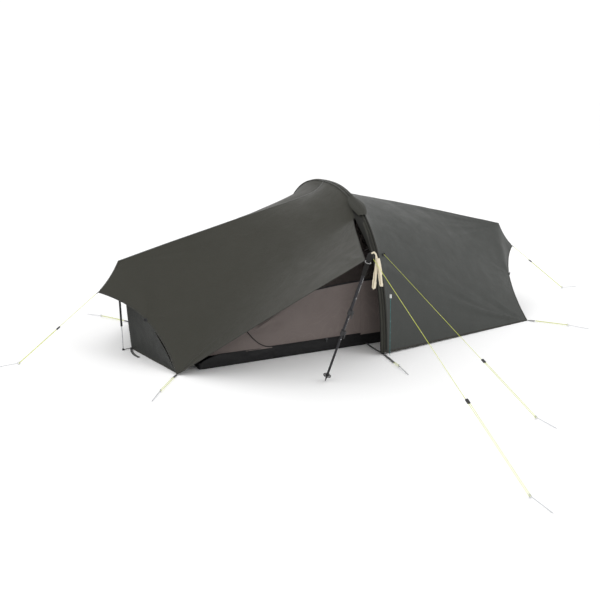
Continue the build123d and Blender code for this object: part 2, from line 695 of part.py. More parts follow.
def tube(ro, ri, z0, z1):
    t = Cylinder(ro, z1 - z0, align=MN)
    if ri:
        t -= Cylinder(ri, z1 - z0, align=MN)
    return t.moved(Location((0, 0, z0)))


Z_LOW, Z_MID = 0.385 * PL, 0.545 * PL      # heights of the two locks along the pole
parts["pole_upper_tube"] = [AT(tube(9.0, 8.2, Z_MID + 14, PL - 30))]
parts["pole_middle_tube"] = [AT(tube(8.0, 7.2, Z_LOW + 14, Z_MID + 180))]
parts["pole_lower_tube"] = [AT(tube(7.0, 6.2, 44, Z_LOW + 150))]
grip = Cylinder(14.0, 100, align=MN).moved(Location((0, 0, PL - 130)))
grip += Cylinder(15.5, 8, align=MN).moved(Location((0, 0, PL - 134)))
grip += Cylinder(17.0, 26, align=MN).moved(Location((0, 0, PL - 36)))
grip += Sphere(17.0).moved(Location((0, 0, PL - 12)))
grip = grip & Cylinder(40, 150, align=MN).moved(Location((0, 0, PL - 140)))
grip -= Cylinder(9.1, 112, align=MN).moved(Location((0, 0, PL - 140)))
parts["pole_grip"] = [AT(grip)]


def clamp(z, r_tube, r_inner, h=30):
    """Collar that grips the tube above and lets the thinner tube below slide."""
    c = Cylinder(r_tube + 4.5, h, align=MN).moved(Location((0, 0, z)))
    c += Box(14, 12, h - 6, align=MN).moved(Location((0, r_tube + 6, z + 3)))
    c -= Cylinder(r_inner + 0.25, h + 2, align=MN).moved(Location((0, 0, z - 1)))
    c -= Cylinder(r_tube + 0.02, h, align=MN).moved(Location((0, 0, z + 14)))
    c -= Cylinder(2.08, 30).moved(Location((0, r_tube + 9, z + h / 2), (0, 90, 0)))
    c -= Box(8.4, 14.4, 16).moved(Location((0, r_tube + 12, z + h / 2)))
    c -= Box(8.4, 6, 40).moved(Location((0, r_tube + 12.7, z + h / 2 - 12)))
    return c


def lever(z, r_tube, h=30):
    """Flip lever on a cross pin, lying along the pole when locked."""
    l = Cylinder(4.0, 7.6).moved(Location((0, r_tube + 9, z + h / 2), (0, 90, 0)))
    l += Box(7.6, 3.0, 34, align=(Align.CENTER, Align.MIN, Align.MAX)).moved(Location((0, r_tube + 10.0, z + h / 2)))
    l += Cylinder(2.0, 13.6).moved(Location((0, r_tube + 9, z + h / 2), (0, 90, 0)))
    return l


parts["pole_upper_clamp"] = [AT(clamp(Z_MID, 9.0, 8.0))]
parts["pole_lower_clamp"] = [AT(clamp(Z_LOW, 8.0, 7.0))]
parts["pole_upper_lever"] = [AT(lever(Z_MID, 9.0))]
parts["pole_lower_lever"] = [AT(lever(Z_LOW, 8.0))]
bk = Cylinder(24, 3, align=MN) - Cylinder(7.05, 4, align=MN)
for k in range(6):
    bk -= Cylinder(5, 6).moved(Location((15.5 * math.cos(k * math.pi / 3), 15.5 * math.sin(k * math.pi / 3), 1)))
bk = bk + (Cylinder(9.6, 16, align=MN) - Cylinder(7.05, 16, align=MN))
parts["pole_basket"] = [AT(bk.moved(Location((0, 0, 40))))]
tipc = Cylinder(6.0, 34, align=MN).moved(Location((0, 0, 30)))
tipc = Cone(3.0, 6.0, 24, align=MN).moved(Location((0, 0, 8))) + Cylinder(6.0, 12, align=MN).moved(Location((0, 0, 32))) + Cylinder(1.8, 9, align=MN).moved(Location((0, 0, 0.7)))
parts["pole_tip"] = [AT(tipc)]
# wrist strap: two hanging leaves of soft webbing beside the grip
wl = []
for dx, L, w in ((24, 120, 20), (44, 105, 20)):
    P = np.zeros((7, 2, 3))
    for i in range(7):
        k = i / 6
        xx = B[0] + dx * (0.35 + 0.65 * k)
        zz = B[2] + 6 - L * k
        P[i, 0] = V(xx, B[1] - 26 - w / 2 - 3 * math.sin(math.pi * k), zz)
        P[i, 1] = V(xx, B[1] - 26 + w / 2 - 3 * math.sin(math.pi * k), zz)
    wl.append(grid_skin(P, 2.0))
parts["pole_wrist_strap"] = wl
rg = Torus(17.4, 1.4)
parts["door_corner_ring"] = [AT(rg.moved(Location((0, 0, PL - 52))))]

parts["ground_pegs"] = pegs

# ---------------------------------------------------------------- write
os.makedirs("parts", exist_ok=True)
for f in os.listdir("parts"):
    os.remove(os.path.join("parts", f))
for name, solids in parts.items():
    flat_solids = []
    for s in solids:
        got = s.solids() if hasattr(s, "solids") else [s]
        flat_solids += list(got)
    shape = flat_solids[0] if len(flat_solids) == 1 else Compound(children=flat_solids)
    shape.label = name
    export_step(shape, os.path.join("parts", name + ".step"))
print(len(parts), "nodes")
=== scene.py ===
import bpy, bmesh, json, math
import numpy as np
from mathutils import Vector, Matrix

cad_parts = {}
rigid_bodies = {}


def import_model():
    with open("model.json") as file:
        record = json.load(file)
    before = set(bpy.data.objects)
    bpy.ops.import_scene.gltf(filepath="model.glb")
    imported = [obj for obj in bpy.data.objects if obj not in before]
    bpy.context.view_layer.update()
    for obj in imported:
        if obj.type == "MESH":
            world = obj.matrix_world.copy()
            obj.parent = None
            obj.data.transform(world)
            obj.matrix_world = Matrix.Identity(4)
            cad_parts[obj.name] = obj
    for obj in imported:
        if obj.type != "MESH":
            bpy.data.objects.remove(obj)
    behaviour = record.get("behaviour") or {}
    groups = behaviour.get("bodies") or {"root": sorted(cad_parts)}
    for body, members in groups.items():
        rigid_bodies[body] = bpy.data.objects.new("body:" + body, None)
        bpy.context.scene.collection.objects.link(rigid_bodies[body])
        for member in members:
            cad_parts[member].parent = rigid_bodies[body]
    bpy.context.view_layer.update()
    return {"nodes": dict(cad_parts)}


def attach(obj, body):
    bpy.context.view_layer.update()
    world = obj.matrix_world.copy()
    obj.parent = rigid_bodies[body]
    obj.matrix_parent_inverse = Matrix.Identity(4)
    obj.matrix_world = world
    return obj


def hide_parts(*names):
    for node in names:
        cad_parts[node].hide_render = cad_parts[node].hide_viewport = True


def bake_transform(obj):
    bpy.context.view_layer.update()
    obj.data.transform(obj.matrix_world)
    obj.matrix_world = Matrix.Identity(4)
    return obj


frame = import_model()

# =====================================================================
# camera, light, floor
# =====================================================================
def make_camera():
    az, el, roll = math.radians(-23.52), math.radians(14.939), math.radians(-0.868)
    back = Vector((math.sin(az) * math.cos(el), -math.cos(az) * math.cos(el), math.sin(el)))
    right = Vector((math.cos(az), math.sin(az), 0))
    up = right.cross(-back)
    R = right * math.cos(roll) + up * math.sin(roll)
    U = -right * math.sin(roll) + up * math.cos(roll)
    m = Matrix(((R.x, U.x, back.x, -2.611), (R.y, U.y, back.y, -5.502), (R.z, U.z, back.z, 1.793), (0, 0, 0, 1)))
    cam = bpy.data.cameras.new("camera")
    cam.lens, cam.sensor_width, cam.clip_end = 50.91, 36.0, 100
    o = bpy.data.objects.new("camera", cam)
    o.matrix_world = m
    bpy.context.collection.objects.link(o)
    bpy.context.scene.camera = o


make_camera()


def make_stage():
    sc = bpy.context.scene
    sc.view_settings.view_transform = "Standard"
    sc.view_settings.look = "None"
    w = bpy.data.worlds.new("studio")
    sc.world = w
    w.use_nodes = True
    w.node_tree.nodes["Background"].inputs[0].default_value = (1, 1, 1, 1)
    w.node_tree.nodes["Background"].inputs[1].default_value = 1.06

    def area(name, at, to, size, power, colour=(1, 1, 1)):
        l = bpy.data.lights.new(name, "AREA")
        l.shape, l.size, l.energy, l.color = "DISK", size, power, colour
        o = bpy.data.objects.new(name, l)
        o.location = at
        o.rotation_euler = (Vector(to) - Vector(at)).to_track_quat("-Z", "Y").to_euler()
        bpy.context.collection.objects.link(o)

    area("key", (4.5, -5.5, 6.0), (0.3, -0.3, 0.4), 4.0, 110, (0.97, 0.98, 1.0))
    area("fill", (-5.5, -5.0, 3.0), (-0.3, -0.3, 0.4), 4.0, 60, (1.0, 0.985, 0.96))
    area("rim", (-1.0, 6.0, 5.0), (0, 0, 0.5), 4.0, 25)
    me = bpy.data.meshes.new("floor")
    s = 60.0
    me.from_pydata([(-s, -s, -0.0008), (s, -s, -0.0008), (s, s, -0.0008), (-s, s, -0.0008)], [], [(0, 1, 2, 3)])
    o = bpy.data.objects.new("floor", me)
    bpy.context.collection.objects.link(o)
    m = bpy.data.materials.new("floor")
    m.use_nodes = True
    b = m.node_tree.nodes["Principled BSDF"]
    b.inputs["Base Color"].default_value = (0.97, 0.97, 0.97, 1)
    b.inputs["Roughness"].default_value = 0.9
    b.inputs["Specular IOR Level"].default_value = 0.1
    me.materials.append(m)


make_stage()


def unit(v):
    v = np.array(v, float)
    return v / max(np.linalg.norm(v), 1e-12)


# =====================================================================
# materials, all procedural, in the frame's own coordinates
# =====================================================================
class Mat:
    def __init__(s, name):
        s.m = bpy.data.materials.new(name)
        s.m.use_nodes = True
        s.t = s.m.node_tree
        s.b = s.t.nodes["Principled BSDF"]
        s.co = s.t.nodes.new("ShaderNodeTexCoord").outputs["Object"]

    def set(s, **k):
        for n, v in k.items():
            s.b.inputs[n.replace("_", " ")].default_value = v
        return s

    def node(s, kind, ins=None, **props):
        n = s.t.nodes.new("ShaderNode" + kind)
        for k, v in props.items():
            setattr(n, k, v)
        for k, v in (ins or {}).items():
            if hasattr(v, "is_output"):
                s.t.links.new(v, n.inputs[k])
            else:
                n.inputs[k].default_value = v
        return n

    def noise(s, scale, detail=3.0, rough=0.5, co=None, dist=0.0):
        return s.node("TexNoise", {"Vector": co or s.co, "Scale": scale, "Detail": detail, "Roughness": rough, "Distortion": dist}).outputs["Fac"]

    def wave(s, scale, direction, co=None, profile="SIN", dist=0.0):
        return s.node("TexWave", {"Vector": co or s.co, "Scale": scale, "Distortion": dist}, wave_type="BANDS",
                      bands_direction=direction, wave_profile=profile).outputs["Fac"]

    def math(s, op, a, b=0.0, c=0.0):
        return s.node("Math", {0: a, 1: b, 2: c}, operation=op).outputs[0]

    def range(s, v, a, b, c, d):
        return s.node("MapRange", {"Value": v, "From Min": a, "From Max": b, "To Min": c, "To Max": d}).outputs[0]

    def mix(s, f, a, b):
        n = s.node("Mix", {}, data_type="RGBA")
        for i, v in ((0, f), (6, a), (7, b)):
            if hasattr(v, "is_output"):
                s.t.links.new(v, n.inputs[i])
            else:
                n.inputs[i].default_value = v if i == 0 else (*v[:3], 1)
        return n.outputs[2]

    def along(s, axis):
        """Distance along a direction of the frame."""
        return s.node("VectorMath", {0: s.co, 1: axis}, operation="DOT_PRODUCT").outputs["Value"]

    def colour(s, v):
        if hasattr(v, "is_output"):
            s.t.links.new(v, s.b.inputs["Base Color"])
        else:
            s.b.inputs["Base Color"].default_value = (*v[:3], 1)
        return s

    def rough(s, v):
        s.t.links.new(v, s.b.inputs["Roughness"])
        return s

    def bump(s, *heights, strength=0.4):
        normal = None
        for h, dist in heights:
            n = s.node("Bump", {"Strength": strength, "Distance": dist, "Height": h})
            if normal is not None:
                s.t.links.new(normal, n.inputs["Normal"])
            normal = n.outputs["Normal"]
        s.t.links.new(normal, s.b.inputs["Normal"])
        return s


def coated_cloth(name, base, other, rough=0.5, sheen=0.15, weave=2600.0, rip=0.0055, spec=0.35, mottled=0.5, creases=0.0012):
    """Silicone coated ripstop: fine weave, a faint grid of thicker threads, slow shade changes and small creases."""
    m = Mat(name)
    slow = m.noise(2.2, 4, 0.55)
    fine = m.noise(34.0, 3, 0.6)
    wv = m.math("MULTIPLY", m.wave(weave / 20, "X"), m.wave(weave / 20, "Z"))
    k = 1 / rip / 6.2832
    rx = m.wave(k * 3.14, "X", profile="SIN")
    rz = m.wave(k * 3.14, "Z", profile="SIN")
    ry = m.wave(k * 3.14, "Y", profile="SIN")
    rip_f = m.math("MAXIMUM", m.math("POWER", rx, 18.0), m.math("POWER", rz, 18.0))
    rip_f = m.math("MAXIMUM", rip_f, m.math("POWER", ry, 18.0))
    c = m.mix(m.math("MULTIPLY", m.range(slow, 0.35, 0.65, 0.0, 1.0), mottled), base, other)
    c = m.mix(m.math("MULTIPLY", fine, 0.18), c, tuple(x * 0.72 for x in base))
    c = m.mix(m.math("MULTIPLY", rip_f, 0.16), c, tuple(min(x * 1.7 + 0.01, 1) for x in base))
    m.colour(c)
    m.rough(m.range(m.noise(9.0, 4, 0.6), 0.3, 0.7, rough - 0.07, rough + 0.08))
    m.set(Specular_IOR_Level=spec, Sheen_Weight=sheen, Sheen_Roughness=0.5)
    crease = m.noise(7.0, 5, 0.62, dist=0.6)
    m.bump((crease, creases * 6), (m.noise(60, 3, 0.5), creases), (wv, 0.00008), (rip_f, 0.00025), strength=0.5)
    return m.m


# both fly halves are one fabric: the left half is painted darker and warmer as painted shade, the right half brighter
# and cooler as painted light
FLY_L_SHADED = coated_cloth("fly_cloth_warm_painted_shade", (0.033, 0.0325, 0.0255), (0.040, 0.039, 0.031), rough=0.56, spec=0.2, sheen=0.04)
FLY_R_LIT = coated_cloth("fly_cloth_cool_painted_light", (0.037, 0.0395, 0.036), (0.044, 0.047, 0.043), rough=0.52, spec=0.24, sheen=0.04)
# ridge seam cloth: the fly fabric painted lighter, a painted highlight along the ridge
FLY_SEAM_HIGHLIGHT = coated_cloth("fly_seam_painted_highlight", (0.060, 0.061, 0.056), (0.070, 0.071, 0.066), rough=0.45)
FLY_DARK = coated_cloth("fly_flap_cloth", (0.007, 0.007, 0.0055), (0.010, 0.010, 0.008), spec=0.2, sheen=0.05)
FLY_HOOD = coated_cloth("fly_hood_cloth", (0.026, 0.026, 0.020), (0.031, 0.031, 0.025), spec=0.2, sheen=0.04)
# end walls: the fly fabric painted darker, as painted shade under the beak
END_CLOTH_SHADED = coated_cloth("end_wall_cloth_painted_shade", (0.019, 0.020, 0.018), (0.023, 0.0245, 0.022), rough=0.6, spec=0.2, sheen=0.03)
INNER = coated_cloth("inner_cloth", (0.150, 0.122, 0.112), (0.110, 0.089, 0.083), rough=0.55, sheen=0.25, rip=0.004, creases=0.002)
TUB = coated_cloth("floor_cloth", (0.0030, 0.0030, 0.0034), (0.0055, 0.0055, 0.006), rough=0.40, sheen=0.0, spec=0.28, creases=0.004)


def mesh_cloth():
    m = Mat("inner_net")
    cell = m.node("TexVoronoi", {"Vector": m.co, "Scale": 420.0}, feature="DISTANCE_TO_EDGE").outputs["Distance"]
    hole = m.range(cell, 0.02, 0.2, 1.0, 0.0)
    m.colour(m.mix(m.noise(3.0), (0.026, 0.020, 0.018), (0.040, 0.032, 0.029)))
    m.set(Roughness=0.85, Specular_IOR_Level=0.15, Sheen_Weight=0.2, Alpha=0.86)
    m.bump((hole, 0.0004), (m.noise(6.0, 4), 0.006), strength=0.4)
    return m.m


NET = mesh_cloth()


def webbing_mat(name, base, other):
    m = Mat(name)
    rib = m.math("MULTIPLY", m.wave(170, "X"), m.wave(170, "Y"))
    m.colour(m.mix(m.math("ADD", m.math("MULTIPLY", rib, 0.5), m.math("MULTIPLY", m.noise(40.0), 0.4)), base, other))
    m.set(Roughness=0.82, Specular_IOR_Level=0.2, Sheen_Weight=0.3)
    m.bump((rib, 0.0005), (m.noise(400, 2), 0.0002), strength=0.6)
    return m.m


WEB = webbing_mat("black_webbing", (0.008, 0.008, 0.009), (0.022, 0.022, 0.024))
CREAM = webbing_mat("cream_webbing", (0.62, 0.55, 0.41), (0.72, 0.66, 0.52))


def cord_mat(name, a, b, fleck):
    """Braided cord with a paler tracer thread."""
    m = Mat(name)
    br = m.math("MULTIPLY", m.wave(420, "DIAGONAL"), m.wave(380, "Z", dist=1.0))
    c = m.mix(m.math("MULTIPLY", br, 0.8), a, b)
    c = m.mix(m.math("GREATER_THAN", m.noise(240.0, 1), 0.63), c, fleck)
    m.colour(c)
    m.set(Roughness=0.7, Specular_IOR_Level=0.25, Sheen_Weight=0.2)
    m.bump((br, 0.0004), strength=0.7)
    return m.m


LIME = cord_mat("lime_cord", (0.50, 0.55, 0.045), (0.66, 0.70, 0.12), (0.80, 0.82, 0.45))
TEAL = cord_mat("teal_cord", (0.010, 0.110, 0.115), (0.03, 0.20, 0.20), (0.25, 0.45, 0.44))
BLACKCORD = cord_mat("black_cord", (0.010, 0.010, 0.011), (0.03, 0.03, 0.03), (0.10, 0.10, 0.10))


def plastic(name, base, rough=0.45, grain=0.0003):
    m = Mat(name)
    m.colour(m.mix(m.math("MULTIPLY", m.noise(55.0, 3), 0.5), base, tuple(min(x * 1.5 + 0.006, 1) for x in base)))
    m.rough(m.range(m.noise(120.0, 3), 0.3, 0.7, rough - 0.08, rough + 0.1))
    m.set(Specular_IOR_Level=0.45)
    m.bump((m.noise(900.0, 2), grain), strength=0.35)
    return m.m


BLACKP = plastic("black_plastic", (0.011, 0.011, 0.012))
WHITEP = plastic("white_plastic", (0.60, 0.61, 0.59))
ZIPM = plastic("zip_slider_metal", (0.035, 0.035, 0.036), 0.32)


def metal(name, base, rough=0.34, axis="X", scratch=0.00012, aniso=0.0):
    m = Mat(name)
    m.colour(m.mix(m.noise(18.0, 4), base, tuple(x * 0.82 for x in base)))
    m.rough(m.range(m.noise(60.0, 4, 0.7), 0.3, 0.7, rough - 0.08, rough + 0.12))
    m.set(Metallic=1.0)
    m.bump((m.wave(700, axis, dist=6.0), scratch), strength=0.3)
    return m.m


ALU = metal("bare_aluminium", (0.60, 0.61, 0.63))
ALU_D = metal("ferrule_aluminium", (0.48, 0.49, 0.51), 0.4)
STEEL = metal("steel_ring", (0.56, 0.56, 0.56), 0.25)

TIP_FOOT, TIP_HEAD = np.array([-0.557, -1.143, 0.0]), np.array([-0.389, -1.400, 0.812])
PL = float(np.linalg.norm(TIP_HEAD - TIP_FOOT))
AXIS = (TIP_HEAD - TIP_FOOT) / PL


def pole_mat(name, highlight_bands, ticks=None):
    """Dark anodised tube with painted highlights: pale stripes and spots on the lit side at given places along the
    pole, and printed scale ticks where given.
    """
    m = Mat(name)
    d = m.math("SUBTRACT", m.along(tuple(AXIS)), float(TIP_FOOT @ AXIS))
    c = m.mix(m.noise(70.0, 3), (0.012, 0.012, 0.014), (0.030, 0.030, 0.034))
    c_ = TIP_FOOT - (TIP_FOOT @ AXIS) * AXIS
    sv = unit(np.array([0.62, -0.78, 0]) - (np.array([0.62, -0.78, 0]) @ AXIS) * AXIS)
    tv = np.cross(AXIS, sv)
    across = m.math("SUBTRACT", m.along(tuple(tv)), float(TIP_FOOT @ tv))
    lit_side = m.math("GREATER_THAN", m.math("SUBTRACT", m.along(tuple(sv)), float(TIP_FOOT @ sv)), 0.0)
    highlight_and_print_mask = None
    for z0, z1, half in highlight_bands:
        k = m.math("MULTIPLY", m.math("GREATER_THAN", d, z0), m.math("LESS_THAN", d, z1))
        k = m.math("MULTIPLY", k, m.math("LESS_THAN", m.math("ABSOLUTE", across), half))
        highlight_and_print_mask = k if highlight_and_print_mask is None else m.math("MAXIMUM", highlight_and_print_mask, k)
    if ticks:
        z0, z1, step = ticks
        k = m.math("MULTIPLY", m.math("GREATER_THAN", d, z0), m.math("LESS_THAN", d, z1))
        k = m.math("MULTIPLY", k, m.math("LESS_THAN", m.math("FRACT", m.math("DIVIDE", d, step)), 0.16))
        k = m.math("MULTIPLY", k, m.math("LESS_THAN", m.math("ABSOLUTE", across), 0.004))
        highlight_and_print_mask = k if highlight_and_print_mask is None else m.math("MAXIMUM", highlight_and_print_mask, k)
    if highlight_and_print_mask is not None:
        # painted highlight: the pale bands on the lit side stand in for reflections; the ticks are a printed scale
        c = m.mix(m.math("MULTIPLY", m.math("MULTIPLY", highlight_and_print_mask, lit_side), 0.9), c, (0.60, 0.61, 0.62))
    m.colour(c)
    m.rough(m.range(m.noise(130.0, 3), 0.3, 0.7, 0.26, 0.40))
    m.set(Metallic=0.55, Specular_IOR_Level=0.5)
    m.bump((m.noise(1200.0, 2), 0.00006), strength=0.3)
    return m.m


# the pale bands given per tube are painted highlights: a broken stripe and a spot on the upper tube, a spot on the
# middle and on the lower tube
UPPER = pole_mat("pole_upper_painted_highlight", [(0.620, 0.672, 0.0024), (0.686, 0.716, 0.0024), (0.578, 0.588, 0.0045)])
MIDDLE = pole_mat("pole_middle_painted_highlight_and_scale", [(0.440, 0.446, 0.005)], ticks=(0.37, 0.47, 0.01))
LOWER = pole_mat("pole_lower_painted_highlight", [(0.300, 0.306, 0.005)])


def grip_mat():
    m = Mat("grip_foam")
    rib = m.wave(300, "Z", dist=0.4)
    m.colour(m.mix(m.noise(90.0, 4), (0.010, 0.010, 0.010), (0.026, 0.025, 0.024)))
    m.set(Roughness=0.92, Specular_IOR_Level=0.2)
    m.bump((rib, 0.0006), (m.noise(700.0, 3), 0.0005), strength=0.6)
    return m.m


GRIP = grip_mat()


def seam_mat(name, base, stitch):
    """Sewn tape: fine twill with scattered pale-on-dark stitch marks."""
    m = Mat(name)
    tw = m.wave(500, "DIAGONAL")
    st = m.math("GREATER_THAN", m.math("MULTIPLY", m.wave(90, "X"), m.noise(60.0, 1)), 0.42)
    m.colour(m.mix(m.math("MULTIPLY", st, 0.35), m.mix(m.math("MULTIPLY", tw, 0.4), base, tuple(x * 1.5 for x in base)), stitch))
    m.set(Roughness=0.75, Specular_IOR_Level=0.25)
    m.bump((tw, 0.0003), (st, 0.0003), strength=0.5)
    return m.m


TAPE = seam_mat("hem_tape", (0.030, 0.030, 0.026), (0.10, 0.10, 0.085))
TAPE_B = seam_mat("black_tape", (0.008, 0.008, 0.009), (0.03, 0.03, 0.03))


# =====================================================================
# mesh helpers
# =====================================================================
def obj_from(name, verts, faces, mat, smooth=True):
    me = bpy.data.meshes.new(name)
    me.from_pydata([tuple(map(float, v)) for v in verts], [], [tuple(int(i) for i in f) for f in faces])
    me.validate()
    me.update()
    if smooth:
        me.polygons.foreach_set("use_smooth", [True] * len(me.polygons))
    me.materials.append(mat)
    o = bpy.data.objects.new(name, me)
    bpy.context.collection.objects.link(o)
    return o


def finish_piece(o, body="root", replaces=()):
    if body:
        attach(o, body)
    if replaces:
        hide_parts(*replaces)
    return o


def noise3(p, scale, seed=0, octaves=3):
    """Smooth repeatable noise from rotated sines, about -1 to 1."""
    rng = np.random.RandomState(seed)
    out, amp, tot = np.zeros(len(p)), 1.0, 0.0
    for _ in range(octaves):
        for _ in range(4):
            d = rng.normal(size=3)
            d /= np.linalg.norm(d)
            e = rng.normal(size=3)
            e /= np.linalg.norm(e)
            f1, f2 = rng.uniform(0, 6.28, 2)
            out += amp * np.sin(p @ d * scale * 6.28 + f1 + 1.3 * np.sin(p @ e * scale * 4.1 + f2)) / 4
        tot += amp
        amp *= 0.5
        scale *= 2.03
    return out / tot


class Net:
    """A mesh grown from grids that share edges."""

    def __init__(s):
        s.v, s.f, s.key = [], [], {}

    def point(s, p):
        k = (round(p[0] * 2e4), round(p[1] * 2e4), round(p[2] * 2e4))
        if k not in s.key:
            s.key[k] = len(s.v)
            s.v.append(np.array(p, float))
        return s.key[k]

    def grid(s, P, flip=False):
        n, m = P.shape[:2]
        idx = np.array([[s.point(P[i, j]) for j in range(m)] for i in range(n)])
        for i in range(n - 1):
            for j in range(m - 1):
                q = [idx[i, j], idx[i + 1, j], idx[i + 1, j + 1], idx[i, j + 1]]
                r = []
                for x in q:
                    if x not in r:
                        r.append(x)
                if len(r) >= 3:
                    s.f.append(tuple(r[::-1] if flip else r))
        return idx

    def arrays(s):
        return np.array(s.v), s.f

    def edges(s):
        e = set()
        for f in s.f:
            for a, b in zip(f, f[1:] + f[:1]):
                e.add((min(a, b), max(a, b)))
        return np.array(sorted(e))


def relax(V, edges, fixed, n, w=0.6):
    a, b = edges.T
    ia, ib = np.r_[a, b], np.r_[b, a]
    deg = np.maximum(np.bincount(ia, minlength=len(V)), 1)
    free = ~fixed
    for _ in range(n):
        S = np.stack([np.bincount(ia, weights=V[ib, k], minlength=len(V)) for k in range(3)], 1) / deg[:, None]
        V[free] += (S[free] - V[free]) * w
    return V


def normals(V, faces):
    N = np.zeros_like(V)
    for size in (3, 4):
        F = np.array([f for f in faces if len(f) == size])
        if len(F):
            if size == 3:
                n = np.cross(V[F[:, 1]] - V[F[:, 0]], V[F[:, 2]] - V[F[:, 0]])
            else:
                n = np.cross(V[F[:, 2]] - V[F[:, 0]], V[F[:, 3]] - V[F[:, 1]])
            for k in range(size):
                np.add.at(N, F[:, k], n)
    return N / np.maximum(np.linalg.norm(N, axis=1), 1e-12)[:, None]


def area_of(V, faces):
    t = 0.0
    for f in faces:
        for k in range(1, len(f) - 1):
            t += np.linalg.norm(np.cross(V[f[k]] - V[f[0]], V[f[k + 1]] - V[f[0]])) / 2
    return float(t)


def resample(curve, n):
    c = np.asarray(curve, float)
    d = np.concatenate([[0], np.cumsum(np.linalg.norm(np.diff(c, axis=0), axis=1))])
    s = np.linspace(0, d[-1], n)
    return np.stack([np.interp(s, d, c[:, k]) for k in range(3)], 1)


def tube_mesh(name, line, r, mat, sides=10, scale=None):
    """Round tube along points, closed at both ends."""
    c = np.asarray(line, float)
    t = np.gradient(c, axis=0)
    t /= np.linalg.norm(t, axis=1)[:, None]
    ref = np.array([0, 0, 1.0]) if abs(t[0][2]) < 0.9 else np.array([1.0, 0, 0])
    u = unit(np.cross(t[0], ref))
    V, F = [], []
    for i, (p, d) in enumerate(zip(c, t)):
        u = unit(u - (u @ d) * d)
        w = np.cross(d, u)
        rr = r if scale is None else r * scale[i]
        for q in range(sides):
            a = 2 * math.pi * q / sides
            V.append(p + rr * (math.cos(a) * u + math.sin(a) * w))
    for i in range(len(c) - 1):
        for q in range(sides):
            a, b = i * sides + q, i * sides + (q + 1) % sides
            F.append((a, b, b + sides, a + sides))
    F.append(tuple(range(sides))[::-1])
    F.append(tuple((len(c) - 1) * sides + q for q in range(sides)))
    return obj_from(name, V, F, mat)


def strap(name, pts, width, thick, mat, up=None, widths=None, n=24, across=5, twist=None, join=None):
    """Flat webbing along points: rounded edges, a little crowned."""
    c = resample(pts, n)
    t = np.gradient(c, axis=0)
    t /= np.maximum(np.linalg.norm(t, axis=1), 1e-9)[:, None]
    V, F = [], []
    prof = [(-1, 0.0), (-0.97, 0.42), (-0.85, 0.5), (0, 0.56), (0.85, 0.5), (0.97, 0.42), (1, 0.0),
            (0.97, -0.42), (0.85, -0.5), (0, -0.56), (-0.85, -0.5), (-0.97, -0.42)]
    m = len(prof)
    for i, (p, d) in enumerate(zip(c, t)):
        u0 = np.array(up if up is not None else (0, 0, 1.0), float)
        s = unit(np.cross(u0, d))
        u = np.cross(d, s)
        if twist is not None:
            a = twist * i / (n - 1)
            s, u = s * math.cos(a) + u * math.sin(a), u * math.cos(a) - s * math.sin(a)
        w = width * (widths[int(i * (len(widths) - 1) / (n - 1))] if widths else 1) / 2
        for x, z in prof:
            V.append(p + s * x * w + u * z * thick)
    for i in range(n - 1):
        for q in range(m):
            a, b = i * m + q, i * m + (q + 1) % m
            F.append((a, b, b + m, a + m))
    F.append(tuple(range(m))[::-1])
    F.append(tuple((n - 1) * m + q for q in range(m)))
    if join is not None:
        join.append((V, F))
        return None
    return obj_from(name, V, F, mat)


def joined(name, parts, mat):
    V, F = [], []
    for v, f in parts:
        k = len(V)
        V += list(v)
        F += [tuple(i + k for i in q) for q in f]
    return obj_from(name, V, F, mat)


def binding(name, V, N, path, inner, width, mat, thick=0.0011, join=None):
    """Folded tape round a free edge: path is the row of edge points, inner the row beside it."""
    e, q = V[path], V[inner]
    d = q - e
    n = N[path]
    d = d - (d * n).sum(1)[:, None] * n
    ln = np.linalg.norm(d, axis=1)
    ok = ln > 1e-6
    if not ok.all():
        idx = np.arange(len(d))
        for k in range(3):
            d[:, k] = np.interp(idx, idx[ok], d[ok, k])
        ln = np.linalg.norm(d, axis=1)
    d /= np.maximum(ln, 1e-9)[:, None]
    rows = [e + d * width + n * thick * 0.7, e + d * width * 0.5 + n * thick, e + d * 0.0008 + n * thick, e - d * 0.0012,
            e + d * 0.0008 - n * thick, e + d * width * 0.5 - n * thick, e + d * width - n * thick * 0.7]
    P = np.stack(rows, 1)
    k, m = P.shape[:2]
    F = [(i * m + j, (i + 1) * m + j, (i + 1) * m + j + 1, i * m + j + 1) for i in range(k - 1) for j in range(m - 1)]
    if join is not None:
        join.append((P.reshape(-1, 3), F))
        return None
    return obj_from(name, P.reshape(-1, 3), F, mat)


def nurbs(name, pts, diameter, mat, res=10):
    cu = bpy.data.curves.new(name, "CURVE")
    cu.dimensions = "3D"
    sp = cu.splines.new("NURBS")
    sp.points.add(len(pts) - 1)
    for p, q in zip(sp.points, pts):
        p.co = (*[float(x) for x in q], 1)
    sp.order_u = 3
    sp.use_endpoint_u = True
    sp.resolution_u = res
    cu.bevel_depth = diameter / 2
    cu.bevel_resolution = 3
    cu.use_fill_caps = True
    cu.materials.append(mat)
    o = bpy.data.objects.new(name, cu)
    bpy.context.collection.objects.link(o)
    return o


# =====================================================================
# cords, on the routes of their CAD tubes
# =====================================================================
CORD_D = 0.0025


def curve_length(o):
    me = bpy.data.meshes.new_from_object(bare(o))
    v = np.array([x.co for x in me.vertices])
    bpy.data.meshes.remove(me)
    return float(np.linalg.norm(np.diff(v, axis=0), axis=1).sum())


def bare(o):
    c = o.data.copy()
    c.bevel_depth = 0
    b = bpy.data.objects.new("bare", c)
    return b


def loop_route(a, turn_a, turn_b, tail):
    """One strand to the peg, round its ring and back: a point six diameters short of the ring on each strand."""
    a, ta, tb, t = (np.array(x, float) / 1000 for x in (a, turn_a, turn_b, tail))
    d1, d2 = unit(ta - a), unit(tb - t)
    return [a, a + (ta - a) * 0.5, ta - d1 * 0.015, ta, tb, tb - d2 * 0.015, t + (tb - t) * 0.35, t]


